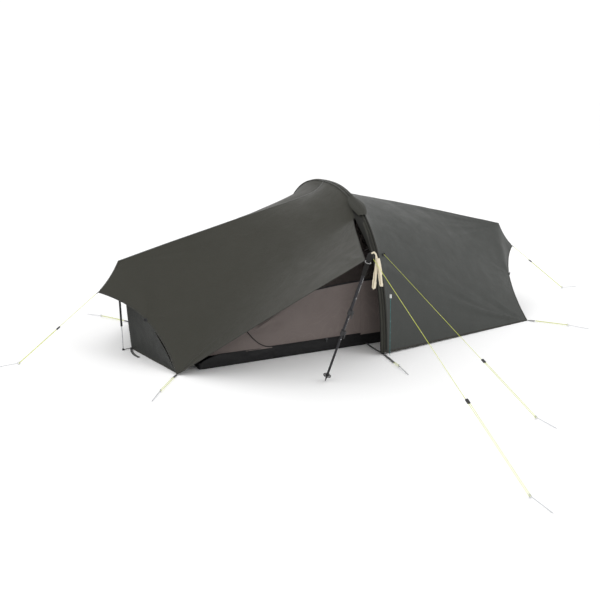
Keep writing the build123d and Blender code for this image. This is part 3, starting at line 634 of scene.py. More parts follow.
ROUTES = {
    "guy_line_door": ([-378.5, -1409.0, 785.0], [-383.5, -2840.6, 8.8], [-374.5, -2840.7, 8.8], [-372.8, -2348.4, 275.7]),
    "guy_line_hoop": ([74.0, -723.9, 639.6], [198.5, -2156.1, 9.0], [207.5, -2155.4, 9.0], [169.6, -1720.0, 200.7]),
    "guy_line_beak_left": ([-1676.0, 4.5, 413.0], [-2206.4, 4.5, 8.4], [-2206.4, -4.5, 8.4], [-1936.2, -4.5, 214.5]),
    "guy_line_beak_right": ([1676.0, -4.5, 413.0], [2206.4, -4.5, 8.4], [2206.4, 4.5, 8.4], [1851.4, 4.5, 279.2]),
    "corner_cord_near_left": ([-1375.1, -691.6, 6.8], [-1507.2, -887.7, 10.2], [-1499.7, -892.7, 10.2], [-1367.7, -696.6, 6.8]),
    "corner_cord_near_right": ([1367.7, -696.6, 6.8], [1499.7, -892.7, 10.2], [1507.2, -887.7, 10.2], [1375.1, -691.6, 6.8]),
    "corner_cord_far_left": ([-1367.7, 696.6, 6.8], [-1499.7, 892.7, 10.2], [-1507.2, 887.7, 10.2], [-1375.1, 691.6, 6.8]),
    "hoop_foot_cord": ([-27.5, -1045.4, 6.0], [-38.3, -1122.4, 10.1], [-29.4, -1123.6, 10.1], [-18.5, -1046.6, 6.0]),
}
for name, r in ROUTES.items():
    pts = loop_route(*r)
    o = nurbs(name + "_v", pts, CORD_D, LIME)
    finish_piece(o, "root", [name])
    L = curve_length(o)
    runner = [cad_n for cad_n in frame["nodes"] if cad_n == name.replace("guy_line", "guy_runner")]

teal_pts = [(0.024, -0.906, 0.418), (0.024, -0.906, 0.30), (0.024, -0.906, 0.16), (0.024, -0.906, 0.003)]
o = nurbs("zip_tension_cord_v", teal_pts, 0.003, TEAL)
finish_piece(o, "root", ["zip_tension_cord"])

# =====================================================================
# flysheet shape
# =====================================================================
HOOP_HALF, HOOP_TOP, HOOP_P, HOOP_Q = 0.875, 1.050, 2.353, 2.395
RIDGE_X, RIDGE_Z, RIDGE_TOP = 1.521, 0.617, 0.988
BEAK, TAB, CORNER = np.array([1.668, 0, 0.419]), np.array([1.426, -0.288, 0.275]), np.array([1.339, -0.646, 0.0])
HINGE_TOP = np.array([0.0, -0.540, 0.890])
SLV = 0.015


def hoop(a, x=0.0, inset=0.0):
    r = math.radians(a)
    return np.array([x, -(HOOP_HALF - inset) * max(math.cos(r), 0.0) ** (2 / HOOP_P),
                     (HOOP_TOP - inset) * max(math.sin(r), 0.0) ** (2 / HOOP_Q)])


def ridge(x):
    x = abs(x)
    return (RIDGE_TOP - (RIDGE_TOP - RIDGE_Z) * x / RIDGE_X + 0.008 * math.sin(math.pi * x / RIDGE_X)
            + 0.062 * math.exp(-max(x - SLV, 0) / 0.048) * (1 - x / RIDGE_X))


ZT_A = min((abs(hoop(a / 10)[2] - HINGE_TOP[2]), a / 10) for a in range(300, 900))[1]


def sagged(a, b, toward, sag, n=24):
    a, b, w = np.array(a, float), np.array(b, float), unit(toward)
    return np.array([a + (b - a) * k / n + w * sag * 4 * (k / n) * (1 - k / n) for k in range(n + 1)])


def at_shares(curve, shares):
    c = np.asarray(curve, float)
    d = np.concatenate([[0], np.cumsum(np.linalg.norm(np.diff(c, axis=0), axis=1))])
    d /= d[-1]
    return np.stack([np.interp(shares, d, c[:, k]) for k in range(3)], 1)


def coons(left, right, bottom, top):
    """left and right have m points in t; bottom and top have n points in s. Corners agree."""
    n, m = len(bottom), len(left)

    def shares(c):
        d = np.concatenate([[0], np.cumsum(np.linalg.norm(np.diff(c, axis=0), axis=1))])
        return d / d[-1]
    S = (shares(bottom)[:, None] * (1 - np.linspace(0, 1, m)) + shares(top)[:, None] * np.linspace(0, 1, m))[..., None]
    T = (shares(left)[None, :] * (1 - np.linspace(0, 1, n))[:, None] + shares(right)[None, :] * np.linspace(0, 1, n)[:, None])[..., None]
    L, R, B, U = left[None], right[None], bottom[:, None], top[:, None]
    return ((1 - S) * L + S * R + (1 - T) * B + T * U
            - ((1 - S) * (1 - T) * left[0] + S * (1 - T) * right[0] + (1 - S) * T * left[-1] + S * T * right[-1]))


E_PT = np.array([RIDGE_X, 0, RIDGE_Z])
low_edge = sagged(CORNER + (0, 0, 0.001), TAB, (-1, 0, 0.2), 0.022)
up_edge = sagged(TAB, E_PT, (-1, 0, 0), 0.004)
beak_edge = sagged(TAB, BEAK, (-1, 0, 0.6), 0.024)
beak_ridge = sagged(E_PT, BEAK, (-1, 0, -0.6), 0.012)
MT_LOW, MT_UP = 34, 34            # rows from the ground corner to the tab and from the tab to the ridge
end_col = np.vstack([at_shares(low_edge, np.linspace(0, 1, MT_LOW + 1)), at_shares(up_edge, np.linspace(0, 1, MT_UP + 1))[1:]])
M_ALL = len(end_col)


def ridge_row(xs, sign):
    return np.array([[sign * x, 0, ridge(x)] for x in xs])


def beak_grid(sign, near, cols=15):
    up = at_shares(up_edge, np.linspace(0, 1, MT_UP + 1))
    lo = at_shares(beak_edge, np.linspace(0, 1, MT_UP + 1))
    P = np.zeros((MT_UP + 1, cols, 3))
    for i in range(MT_UP + 1):
        for j in range(cols):
            P[i, j] = up[i] * (1 - j / (cols - 1)) + lo[i] * (j / (cols - 1))
    P[-1] = at_shares(beak_ridge, np.linspace(0, 1, cols))
    P[0] = TAB
    P[..., 0] *= sign
    if not near:
        P[..., 1] *= -1
    return P


def x_rows(n):
    u = np.linspace(0, 1, n)
    x = 0.016 + (RIDGE_X - 0.016) * (0.55 * u + 0.45 * u ** 2)
    x[-1] = RIDGE_X
    return x


def hoop_col(a0, m, x):
    c = np.array([hoop(a0 + (90 - a0) * k / 400, x) for k in range(401)])
    c[0][2] = max(c[0][2], 0.001)
    out = resample(c, m)
    out[-1] = [x, 0, ridge(abs(x))]
    return out


def add_wrinkles(V, N, rays):
    """Pull creases fanning from an anchor: (anchor, direction, reach, half angle, count, height, seed)."""
    for A, D, reach, spread, count, amp, seed in rays:
        A, D = np.array(A, float), unit(D)
        d = V - A
        r = np.linalg.norm(d, axis=1)
        near = int(np.argmin(r))
        n0 = N[near]
        D = unit(D - (D @ n0) * n0)
        S = np.cross(n0, D)
        phi = np.arctan2(d @ S, d @ D)
        env = np.exp(-(r / reach) ** 2) * (1 - np.exp(-(r / (0.12 * reach)) ** 2)) * np.exp(-(phi / spread) ** 4)
        rng = np.random.RandomState(seed)
        h = np.zeros(len(V))
        for k in range(count):
            p0 = rng.uniform(-spread, spread)
            w = spread / count * rng.uniform(0.45, 1.0)
            g = rng.uniform(0.5, 1.0) * np.exp(-((phi - p0) / w) ** 2)
            h += g * np.exp(-((r / reach - rng.uniform(0.2, 0.6)) / 0.55) ** 2)
        V += N * (env * (h - 0.45) * amp)[:, None]
    return V


def add_crease(V, N, a, b, width, height, both=False):
    """A straight pulled ridge from a to b."""
    a, b = np.array(a, float), np.array(b, float)
    ab = b - a
    t = np.clip((V - a) @ ab / (ab @ ab), 0, 1)
    d = np.linalg.norm(V - a - t[:, None] * ab, axis=1)
    V += N * (height * np.exp(-(d / width) ** 2) * np.sin(math.pi * np.clip(t, 0.02, 0.98)) ** 0.5)[:, None]
    return V


def half_sheet(sign):
    """One half of the flysheet: near and far panels, beak and, on the left, the door, as one net."""
    net = Net()
    idx = {}
    x_edge = sign * 0.016
    if sign > 0:
        n = 96
        xs = x_rows(n)
        top = ridge_row(xs, 1)
        right = end_col.copy()
        left = hoop_col(0.35, M_ALL, x_edge)
        s = np.linspace(0, 1, n)
        bottom = at_shares(np.array([left[0], right[0]]), s)
        P = coons(left, right, bottom, top)
        idx["near"] = net.grid(P)
    else:
        L = np.linalg.norm(HINGE_TOP - CORNER * (-1, 1, 1))
        D0, D1 = CORNER * (-1, 1, 1), HINGE_TOP + (x_edge, 0, 0)
        T = np.array([-0.4045, -1.3665, 0.7715])
        u = unit(D1 - D0)
        L = np.linalg.norm(D1 - D0)
        ta = float((T - D0) @ u) / L
        n1, n2 = 34, 70
        s = np.concatenate([np.linspace(0, 1 - ta, n1), np.linspace(1 - ta, 1, n2)[1:]])
        n = len(s)
        xs = x_rows(n)
        top = ridge_row(xs, -1)
        right = end_col * (-1, 1, 1)
        left = hoop_col(ZT_A, M_ALL, x_edge)
        left[0] = D1
        bottom = np.array([D1 + (right[0] - D1) * k for k in s])
        P = coons(left, right, bottom, top)
        # free edges of the door
        K = 56
        F1 = D0 + u * (L - 0.055)
        af = 1 - 0.055 / L
        Q = np.zeros((n, K, 3))
        e = unit((T - D0) - ((T - D0) @ u) * u)
        for i, k in enumerate(s):
            a = 1 - k
            if a <= ta:
                w = a / ta
                free = D0 + (T - D0) * w - e * 0.016 * 4 * w * (1 - w)
            elif a < af:
                w = (af - a) / (af - ta)
                free = F1 + (T - F1) * w - e * 0.012 * 4 * w * (1 - w)
            else:
                free = bottom[i]
            base = bottom[i]
            for j in range(K):
                Q[i, j] = free + (base - free) * (j / (K - 1)) ** 0.9
            Q[i, -1] = base
            Q[i, 0] = free
        idx["door"] = net.grid(Q, flip=False)
        idx["near"] = net.grid(P)
        idx["share"] = s
    # far panel
    left_f = hoop_col(0.35, M_ALL, x_edge)
    right_f = end_col * (sign, 1, 1)
    bottom_f = at_shares(np.array([left_f[0], right_f[0]]), np.linspace(0, 1, n))
    F = coons(left_f, right_f, bottom_f, top)
    F[..., 1] *= -1
    idx["far"] = net.grid(F, flip=True)
    idx["beak_near"] = net.grid(beak_grid(sign, True), flip=True)
    idx["beak_far"] = net.grid(beak_grid(sign, False), flip=False)
    V, faces = net.arrays()
    if sign < 0:
        pass
    fixed = np.zeros(len(V), bool)
    for k in ("near", "far"):
        g = idx[k]
        fixed[g[0]] = True
        fixed[g[:, -1]] = True
        if not (k == "near" and sign < 0):
            fixed[g[:, 0]] = True
        fixed[g[-1, :MT_LOW + 1]] = True
    for k in ("beak_near", "beak_far"):
        g = idx[k]
        fixed[g[:, -1]] = True
        fixed[g[-1]] = True
        fixed[g[0]] = True
    if sign < 0:
        g = idx["door"]
        fixed[g[:, 0]] = True
        fixed[g[0]] = True
        fixed[g[-1]] = True
        fixed[idx["near"][0]] = True
    # the pull of the cloth keeps the lower part close to the drawn patch, and evens out the rest
    V0 = V.copy()
    N0 = normals(V0, faces)
    mid = idx["near"][n // 2, M_ALL // 2]
    if N0[mid][1] > 0:
        N0 = -N0
    V = relax(V, net.edges(), fixed, 1400 if sign < 0 else 240, 0.8)
    # stay outside the drawn panels, so that the sleeping cabin keeps its room
    keep = np.unique(np.concatenate([idx[k].ravel() for k in ("near", "far", "beak_near", "beak_far")]))
    inward = ((V - V0) * N0).sum(1)
    far = np.unique(idx["far"].ravel())
    V[far] = V0[far]
    V[keep] += N0[keep] * np.maximum(-0.002 - inward[keep], 0)[:, None] * (~np.isin(keep, far))[:, None]
    soft = fixed.copy()
    V = relax(V, net.edges(), soft, 14, 0.6)
    N = normals(V, faces)
    if N[idx["near"][n // 2, M_ALL // 2]][1] > 0:
        faces = [f[::-1] for f in faces]
        N = -N
    return net, V, N, faces, idx


netR, VR, NR_, facesR, idR = half_sheet(1)
netL, VL, NL_, facesL, idL = half_sheet(-1)

# creases of the right half
GR = CORNER.copy()
VR = add_wrinkles(VR, NR_, [
    (GR, (-1, -0.1, 0.36), 0.95, 0.42, 9, 0.012, 5),
    (GR, (-0.95, -0.1, 0.75), 0.5, 0.35, 5, 0.008, 15),
    (E_PT, (-1, -0.25, 0.0), 0.7, 0.28, 5, 0.008, 6),
    ((0.02, -0.78, 0.62), (1, 0.2, -0.35), 0.55, 0.5, 5, 0.007, 7),
    (TAB, (-1, -0.3, 0.1), 0.35, 0.7, 5, 0.006, 8),
])
VR = add_crease(VR, NR_, (0.04, -0.80, 0.63), (1.25, -0.62, 0.05), 0.028, 0.007)
VR = add_crease(VR, NR_, (0.30, -0.02, 0.915), (1.45, -0.03, 0.62), 0.03, 0.004)
VR += NR_ * (noise3(VR, 3.0, 3, 3) * 0.0022)[:, None]
VL = add_wrinkles(VL, NL_, [
    ((-0.046, -0.545, 0.860), (-0.25, -0.85, -0.35), 0.42, 0.6, 6, 0.016, 21),
    (CORNER * (-1, 1, 1), (0.8, -0.35, 0.55), 0.6, 0.4, 6, 0.006, 22),
    (E_PT * (-1, 1, 1), (1, -0.3, 0.0), 0.6, 0.3, 4, 0.006, 23),
    ((-0.4045, -1.3665, 0.7715), (0.1, 1, 0.15), 0.45, 0.5, 5, 0.006, 24),
    (TAB * (-1, 1, 1), (1, -0.3, 0.1), 0.3, 0.7, 4, 0.005, 25),
])
VL += NL_ * (noise3(VL, 2.2, 9, 3) * 0.002)[:, None]
for VV in (VR, VL):
    VV[:, 2] = np.maximum(VV[:, 2], 0.0008)
NR_, NL_ = normals(VR, facesR), normals(VL, facesL)

fly_right = obj_from("fly_right_half", VR, facesR, FLY_R_LIT)
finish_piece(fly_right, "root", ["fly_panel_near_right", "fly_panel_far_right", "fly_beak_right"])
fly_left = obj_from("fly_left_half", VL, facesL, FLY_L_SHADED)
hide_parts("fly_panel_near_left", "fly_panel_far_left", "fly_beak_left", "fly_door")
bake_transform(fly_left)

# tapes round the free edges
tR, tL, tD = [], [], []
for V, N, ids, out in ((VR, NR_, idR, tR), (VL, NL_, idL, tL)):
    for k in ("near", "far"):
        g = ids[k]
        if not (k == "near" and ids is idL):
            binding("x", V, N, g[:, 0], g[:, 2], 0.011, TAPE, join=out)
        binding("x", V, N, g[-1, :MT_LOW + 1], g[-3, :MT_LOW + 1], 0.009, TAPE, join=out)
    for k in ("beak_near", "beak_far"):
        g = ids[k]
        binding("x", V, N, g[2:, -1], g[2:, -3], 0.009, TAPE, join=out)
finish_piece(joined("edge_tape_right", tR, TAPE), "root")
finish_piece(joined("edge_tape_left", tL, TAPE), "root")
g = idL["door"]
binding("x", VL, NL_, g[1:-1, 0], g[1:-1, 2], 0.011, TAPE, join=tD)
finish_piece(joined("door_edge_tape", tD, TAPE), "fly_door")


# ridge seam tape, a felled seam a little proud of the cloth, coloured lighter than the fly as a painted highlight along
# the ridge
def ridge_seam(V, N, row_a, row_b, row_c, name):
    a, m, b = V[row_a], V[row_b], V[row_c]
    out = []
    for da in (0.006,):
        l = m + (a - m) / np.maximum(np.linalg.norm(a - m, axis=1), 1e-9)[:, None] * da
        r = m + (b - m) / np.maximum(np.linalg.norm(b - m, axis=1), 1e-9)[:, None] * da
        n = N[row_b]
        P = np.stack([l + n * 0.0006, l + n * 0.0014, m + n * 0.0022, r + n * 0.0014, r + n * 0.0006], 1)
    k, mm = P.shape[:2]
    F = [(i * mm + j, (i + 1) * mm + j, (i + 1) * mm + j + 1, i * mm + j + 1) for i in range(k - 1) for j in range(mm - 1)]
    return P.reshape(-1, 3), F


for V, N, ids, nm, mt in ((VR, NR_, idR, "right", FLY_SEAM_HIGHLIGHT), (VL, NL_, idL, "left", FLY_SEAM_HIGHLIGHT)):
    nr, fr = ids["near"], ids["far"]
    bn, bf = ids["beak_near"], ids["beak_far"]
    parts_ = [ridge_seam(V, N, nr[:, -2], nr[:, -1], fr[:, -2], "x"),
              ridge_seam(V, N, bn[-2, :-1], bn[-1, :-1], bf[-2, :-1], "x")]
    finish_piece(joined("ridge_seam_" + nm, parts_, mt), "root")


# =====================================================================
# pole sleeve, storm flap, hood
# =====================================================================
def along_hoop(a0, a1, n):
    out = []
    for k in range(n):
        a = a0 + (a1 - a0) * k / (n - 1)
        if a <= 90:
            p, q = hoop(a), hoop(min(a + 0.3, 90))
            if a >= 89.7:
                p, q = hoop(89.7), hoop(90)
                p = hoop(a)
            d = unit(q - p) if np.linalg.norm(q - p) > 1e-7 else np.array([0, 1.0, 0])
        else:
            b = 180 - a
            p, q = hoop(b) * (1, -1, 1), hoop(max(b - 0.3, 0)) * (1, -1, 1)
            d = unit(q - p)
        o = np.cross((1, 0, 0), d)
        o = o if o @ (p - np.array([0, 0, 0.3])) > 0 else -o
        out.append((p, d, o))
    return out


def strip_on_hoop(name, a0, a1, n, prof, mat, wobble=0.0, seed=0, close=False):
    rows = along_hoop(a0, a1, n)
    P = np.array([[p + np.array([x, 0, 0]) + o * h for x, h in (prof(k / (n - 1)) if callable(prof) else prof)] for k, (p, d, o) in enumerate(rows)])
    if wobble:
        s = P.shape
        w = noise3(P.reshape(-1, 3), 5.0, seed, 3).reshape(s[:2])
        P += np.array([o for _, _, o in rows])[:, None] * (w * wobble)[..., None]
    P[..., 2] = np.maximum(P[..., 2], 0.001)
    n_, m_ = P.shape[:2]
    F = [(i * m_ + j, (i + 1) * m_ + j, (i + 1) * m_ + (j + 1) % m_, i * m_ + (j + 1) % m_) for i in range(n_ - 1)
         for j in range(m_ if close else m_ - 1)]
    return obj_from(name, P.reshape(-1, 3), F, mat), P


tube_prof = [(-0.024, 0.0006), (-0.015, 0.0012), (-0.0085, 0.0006)]
for k in range(9):
    a = math.pi * k / 8
    tube_prof.append((-0.0066 * math.cos(a), -0.003 + 0.0078 * math.sin(a)))
tube_prof += [(0.0085, 0.0006), (0.015, 0.0012), (0.024, 0.0006)]
sleeve, _ = strip_on_hoop("hoop_sleeve_cloth", 0.5, 179.5, 150, tube_prof, FLY_HOOD, 0.0006, 4)
finish_piece(sleeve, "root", ["hoop_sleeve"])
# inner half of the sleeve, under the pole
under = [(-0.015, -0.004)] + [(-0.0066 * math.cos(math.pi * k / 8) * 1.5, -0.010 - 0.0085 * math.sin(math.pi * k / 8)) for k in range(9)] + [(0.015, -0.004)]
sl2, _ = strip_on_hoop("hoop_sleeve_under", 1.5, 178.5, 110, under, FLY_DARK, 0.0006, 5)
finish_piece(sl2, "root")


def flap_prof(k):
    w = 0.026 + 0.030 * max(0.0, min(1.0, (k - 0.55) / 0.3)) * (1 - 0.3 * max(0, (k - 0.9) / 0.1))
    pts = []
    for j in range(9):
        t = j / 8
        x = 0.004 - (w + 0.004) * t
        pts.append((x, -0.0015 + 0.006 * math.sin(t * 2.2) - 0.012 * t * t))
    return pts


flap, _ = strip_on_hoop("zip_storm_flap", 0.6, ZT_A + 3, 90, flap_prof, FLY_DARK, 0.0018, 6)
finish_piece(flap, "root")

# rain hood over the top of the zip
a0, a1 = ZT_A - 1.5, ZT_A + 11.5
rows = along_hoop(a0, a1, 26)
P = np.zeros((26, 19, 3))
for i, (p, d, o) in enumerate(rows):
    w = 0.030 + 0.026 * math.sin(math.pi * i / 25)
    for j in range(19):
        k = j / 18
        P[i, j] = p + np.array([-w + 2 * w * k, 0, 0]) + o * (0.0045 + 0.009 * math.sin(math.pi * k) ** 0.8 + 0.0012 * math.sin(9 * k + 3 * i / 25))
hood = obj_from("door_hood_cloth", P.reshape(-1, 3), [(i * 19 + j, (i + 1) * 19 + j, (i + 1) * 19 + j + 1, i * 19 + j + 1) for i in range(25) for j in range(18)], FLY_HOOD)
finish_piece(hood, "root", ["door_hood"])

# zip coil beside the flap
zr = along_hoop(1.0, ZT_A - 1, 140)
line = [p + np.array([0.012, 0, 0]) + o * 0.004 for p, d, o in zr]
V_, F_ = [], []
coil = tube_mesh("fly_zip_coil", line, 0.0022, TAPE_B, 8, [1 + 0.18 * (i % 2) for i in range(len(line))])
finish_piece(coil, "root")


# =====================================================================
# end walls
# =====================================================================
def end_leaf(sign, sy, n=30, m=46):
    outer = np.array([CORNER * (1, 1, 1) + (-0.010, 0.022, 0.0012), TAB + (-0.024, 0.014, -0.008), TAB + (0.0, 0.080, 0.050), (1.480, -0.008, 0.566)])
    inner = np.array([(1.470, -0.0, 0.0012), (1.480, -0.0, 0.16), (1.490, -0.0, 0.38), (1.500, -0.0, 0.566)])
    # resample both sides, then smooth the outer one by repeated averaging
    o, i_ = resample(outer, m), resample(inner, m)
    for _ in range(30):
        o[1:-1] = (o[:-2] + 2 * o[1:-1] + o[2:]) / 4
    P = np.zeros((n, m, 3))
    for a in range(n):
        k = a / (n - 1)
        P[a] = o * (1 - k) + i_ * k
        P[a, :, 0] -= 0.018 * math.sin(math.pi * k) * np.sin(np.linspace(0.25, 1, m) * math.pi)
    low = np.linspace(P[0, 0], P[-1, 0], n)
    P[:, 0] = low
    P[..., 0] *= sign
    P[..., 1] *= sy
    return P


for sign, nm in ((-1, "left"), (1, "right")):
    net = Net()
    ids = []
    for sy in (1, -1):
        ids.append(net.grid(end_leaf(sign, sy), flip=(sign * sy > 0)))
    V, F = net.arrays()
    N = normals(V, F)
    V += N * (noise3(V, 3.4, 31 + sign, 3) * 0.004)[:, None]
    V = add_wrinkles(V, N, [((sign * 1.339, -0.646, 0), (0, 1, 0.4), 0.5, 0.5, 5, 0.006, 41), ((sign * 1.339, 0.646, 0), (0, -1, 0.4), 0.5, 0.5, 5, 0.006, 42)])
    V[:, 2] = np.maximum(V[:, 2], 0.001)
    N = normals(V, F)
    o = obj_from("end_wall_" + nm, V, F, END_CLOTH_SHADED)
    finish_piece(o, "root", ["fly_end_walls"] if nm == "left" else [])
    out = []
    for g in ids:
        binding("x", V, N, g[:, 0], g[:, 2], 0.010, TAPE, join=out)
    finish_piece(joined("end_wall_hem_" + nm, out, TAPE), "root")

# =====================================================================
# inner tent
# =====================================================================
FLOOR_X, FLOOR_Y, TUBH = 1.186, 0.621, 0.080
INNER_TOP, INNER_END = 0.985, 0.420


def in_h(x):
    k = abs(x) / FLOOR_X
    return INNER_TOP + (INNER_END - INNER_TOP) * k - 0.020 * math.sin(math.pi * k)


def in_p(x):
    return 3.6 - 2.25 * abs(x) / FLOOR_X


def inner_z(x, z):
    v = min(z / in_h(x), 1)
    return np.array([x, -FLOOR_Y * max(1 - v ** in_p(x), 0) ** (1 / in_p(x)), z])


def band_top(x):
    return 0.450 - 0.205 * (abs(x) / FLOOR_X) ** 1.6


def in_patch(x0, x1, n, low, high, m, side=-1):
    P = np.zeros((n, m, 3))
    for i in range(n):
        x = x0 + (x1 - x0) * i / (n - 1)
        a, b = low(x), high(x)
        for j in range(m):
            P[i, j] = inner_z(x, a + (b - a) * j / (m - 1)) * (1, 1 if side < 0 else -1, 1)
    return P


DOOR_L, DOOR_R = -0.851, -0.044


def slack(V, N, amp, seed, wid=1.0):
    """Hanging cloth: long soft folds that run mostly up and down."""
    p = V * (1.0, 1.0, 0.28)
    h = noise3(p, 3.2 * wid, seed, 3) * 0.7 + noise3(p + 3, 8.0 * wid, seed + 1, 2) * 0.3
    return V + N * (h * amp)[:, None]


def door_low(x):
    k = min(max((x - DOOR_L) / 0.160, 0), 1)
    return TUBH + 0.006 + 0.120 * (1 - k) ** 2.2


def cloth_patch(name, P, mat, body, replaces, amp, seed, extra=(), flip=False, flat=None):
    net = Net()
    idx = net.grid(P, flip=flip)
    V, F = net.arrays()
    N = normals(V, F)
    fade = np.ones(len(V))
    for row in (idx[0], idx[-1], idx[:, 0], idx[:, -1]):
        fade[row] = 0.15
    for row in (idx[1], idx[-2], idx[:, 1], idx[:, -2]):
        fade[row] = np.minimum(fade[row], 0.55)
    W = slack(V.copy(), N, amp, seed)
    V = V + (W - V) * fade[:, None]
    if extra:
        V = add_wrinkles(V, N, extra)
    N = normals(V, F)
    o = obj_from(name, V, F, mat)
    finish_piece(o, body, replaces)
    w = float(np.linalg.norm(np.diff(P[:, 0], axis=0), axis=1).sum())
    h = float(np.linalg.norm(np.diff(P[P.shape[0] // 2], axis=0), axis=1).sum())
    ar = area_of(V, F)
    while ar > w * h:
        h *= 1.03
    while ar < 0.31 * w * h:
        h *= 0.9
    return o, V, N, idx


lo = lambda x: TUBH - 0.004
fan = [((-0.83, -0.60, 0.19), (1, 0, 0.9), 0.42, 0.7, 7, 0.014, 51)]
cloth_patch("inner_near_left", in_patch(-FLOOR_X + 0.004, DOOR_L - 0.002, 26, lo, band_top, 26), INNER, "root", ["inner_wall_near"], 0.005, 61)
cloth_patch("inner_near_right", in_patch(DOOR_R + 0.0004, FLOOR_X - 0.004, 70, lo, band_top, 26), INNER, "root", [], 0.006, 62)
Pc = np.zeros((18, 6, 3))
for i in range(18):
    x = DOOR_L - 0.002 + 0.166 * i / 17
    a, b = TUBH - 0.004, max(door_low(x) - 0.002, TUBH - 0.001)
    for j in range(6):
        Pc[i, j] = inner_z(x, a + (b - a) * j / 5)
cloth_patch("inner_near_corner", Pc, INNER, "root", [], 0.002, 63)
xs_d = [DOOR_L + (DOOR_R - DOOR_L) * k / 63 for k in range(64)]
door_o, DV, DN, DI = cloth_patch("inner_door_cloth", in_patch(DOOR_L, DOOR_R, 64, door_low, band_top, 40), INNER, "inner_door", ["inner_door"], 0.009, 64, extra=fan)
# zip coil on the door's edge
zz = [DV[i] + DN[i] * -0.0015 for i in list(DI[0, ::-1]) + list(DI[1:, 0])]
zz = np.array(zz)
sgn = -1 if DN[DI[30, 20]][1] < 0 else 1
zz = np.array([DV[i] + DN[i] * sgn * -1 * 0.0 + np.array([0, -0.0025, 0]) for i in list(DI[0, ::-1]) + list(DI[1:, 0])])
zt = tube_mesh("inner_zip_coil", resample(zz, 240), 0.0026, TAPE_B, 8, [1 + 0.2 * (i % 2) for i in range(240)])
finish_piece(zt, "inner_door")
for side, nm in ((1, "far"),):
    cloth_patch("inner_far", in_patch(-FLOOR_X + 0.004, FLOOR_X - 0.004, 110, lo, band_top, 26, 1), INNER, "root", ["inner_wall_far"], 0.006, 65, flip=True)


def in_top(n, m, side):
    P = np.zeros((n, m, 3))
    x0 = FLOOR_X - 0.004
    for i in range(n):
        x = -x0 + 2 * x0 * i / (n - 1)
        h, p = in_h(x), in_p(x)
        r0 = math.asin((band_top(x) / h) ** (p / 2))
        for j in range(m):
            r = r0 + (math.pi / 2 - r0) * j / (m - 1)
            P[i, j] = (x, side * FLOOR_Y * max(math.cos(r), 0) ** (2 / p), h * math.sin(r) ** (2 / p))
        P[i, -1, 1] = 0
    return P


for side, nm in ((-1, "near"), (1, "far")):
    cloth_patch("inner_net_" + nm, in_top(110, 40, side), NET, "root", ["inner_mesh_" + nm], 0.004, 70 + side, flip=side > 0)
# seam between cloth and net
for side, nm in ((-1, "near"), (1, "far")):
    ln = np.array([inner_z(x, band_top(x)) * (1, 1 if side < 0 else -1, 1) + (0, 0.001 * side, 0) for x in np.linspace(-FLOOR_X + 0.004, FLOOR_X - 0.004, 160)])
    pieces_ = []
    strap("x", ln, 0.010, 0.0016, TAPE_B, up=(0, side, 0.25), n=150, join=pieces_)
    finish_piece(joined("inner_seam_" + nm, pieces_, TAPE_B), "root")
# end panels
ends_parts = []
for sign, nm in ((-1, "left"), (1, "right")):
    P = np.zeros((33, 30, 3))
    for i in range(33):
        yk = -1 + 2 * i / 32
        for j in range(30):
            z = (TUBH - 0.004) + (in_h(FLOOR_X) - TUBH + 0.004) * j / 29
            w = abs(inner_z(FLOOR_X, z)[1])
            P[i, j] = (sign * (FLOOR_X + 0.0008), yk * w, z)
    P[:, -1, 1] = 0
    cloth_patch("inner_end_" + nm, P, INNER, "root", ["inner_end_walls"] if sign < 0 else [], 0.005, 80 + sign, flip=sign > 0, extra=())


# tray: the turned-up wall as one ring round the floor, and the floor as its own sheet
def rounded_rect(hx, hy, r, n):
    pts = []
    for cx, cy, a0 in ((hx - r, hy - r, 0), (-hx + r, hy - r, 90), (-hx + r, -hy + r, 180), (hx - r, -hy + r, 270)):
        for k in range(9):
            a = math.radians(a0 + 90 * k / 8)
            pts.append((cx + r * math.cos(a), cy + r * math.sin(a), 0))
    pts.append(pts[0])
    return resample(np.array(pts), n + 1)[:-1]


NB = 360
ring = rounded_rect(FLOOR_X - 0.001, FLOOR_Y - 0.001, 0.018, NB)
rowsz = [0.0012, 0.004, 0.012, 0.026, 0.042, 0.058, 0.070, 0.078, 0.080]
P = np.zeros((NB, len(rowsz), 3))
for i, p in enumerate(ring):
    ex = max(0.0, abs(p[0]) - 1.04) / 0.146
    top = 0.080 - (0.040 * ex ** 1.4 if abs(p[1]) > 0.5 or ex > 0.9 else 0.0)
    if abs(p[0]) > FLOOR_X - 0.02:
        top = 0.080 - 0.045 * max(0.0, abs(p[1]) - 0.46) / 0.16
    top = max(top, 0.034)
    wav = 0.0022 * noise3(np.array([[p[0], p[1], 0]]), 4.0, 90, 2)[0]
    for j, z in enumerate(rowsz):
        zz_ = 0.0012 + (z - 0.0012) * (top + wav * (j > 4)) / 0.080
        inw = 1 - (0.004 + 0.006 * (zz_ / 0.08)) * (j > 0) / 0.6
        bulge = 0.0035 * noise3(np.array([[p[0] * 1.0, p[1] * 1.0, zz_ * 2.5]]), 6.0, 91, 3)[0] * min(j, 6) / 6
        q = unit((p[0] / FLOOR_X ** 8 if False else 0, 0, 0)) if False else None
        nx = math.copysign(1, p[0]) if abs(p[0]) > FLOOR_X - 0.0195 else 0
        ny = math.copysign(1, p[1]) if abs(p[1]) > FLOOR_Y - 0.0195 else 0
        d = unit((nx, ny, 0)) if nx or ny else np.zeros(3)
        P[i, j] = np.array([p[0], p[1], zz_]) + d * (bulge - 0.007 * (zz_ / 0.08) ** 1.5)
F = [(i * len(rowsz) + j, ((i + 1) % NB) * len(rowsz) + j, ((i + 1) % NB) * len(rowsz) + j + 1, i * len(rowsz) + j + 1) for i in range(NB) for j in range(len(rowsz) - 1)]
tray = obj_from("tray_wall", P.reshape(-1, 3), F, TUB)
finish_piece(tray, "root", ["bathtub_wall_near", "bathtub_wall_far", "bathtub_wall_ends"])
pip = []
top_line = np.vstack([P[:, -1], P[:1, -1]])
strap("x", top_line + (0, 0, 0.0006), 0.007, 0.003, TAPE_B, n=420, join=pip)
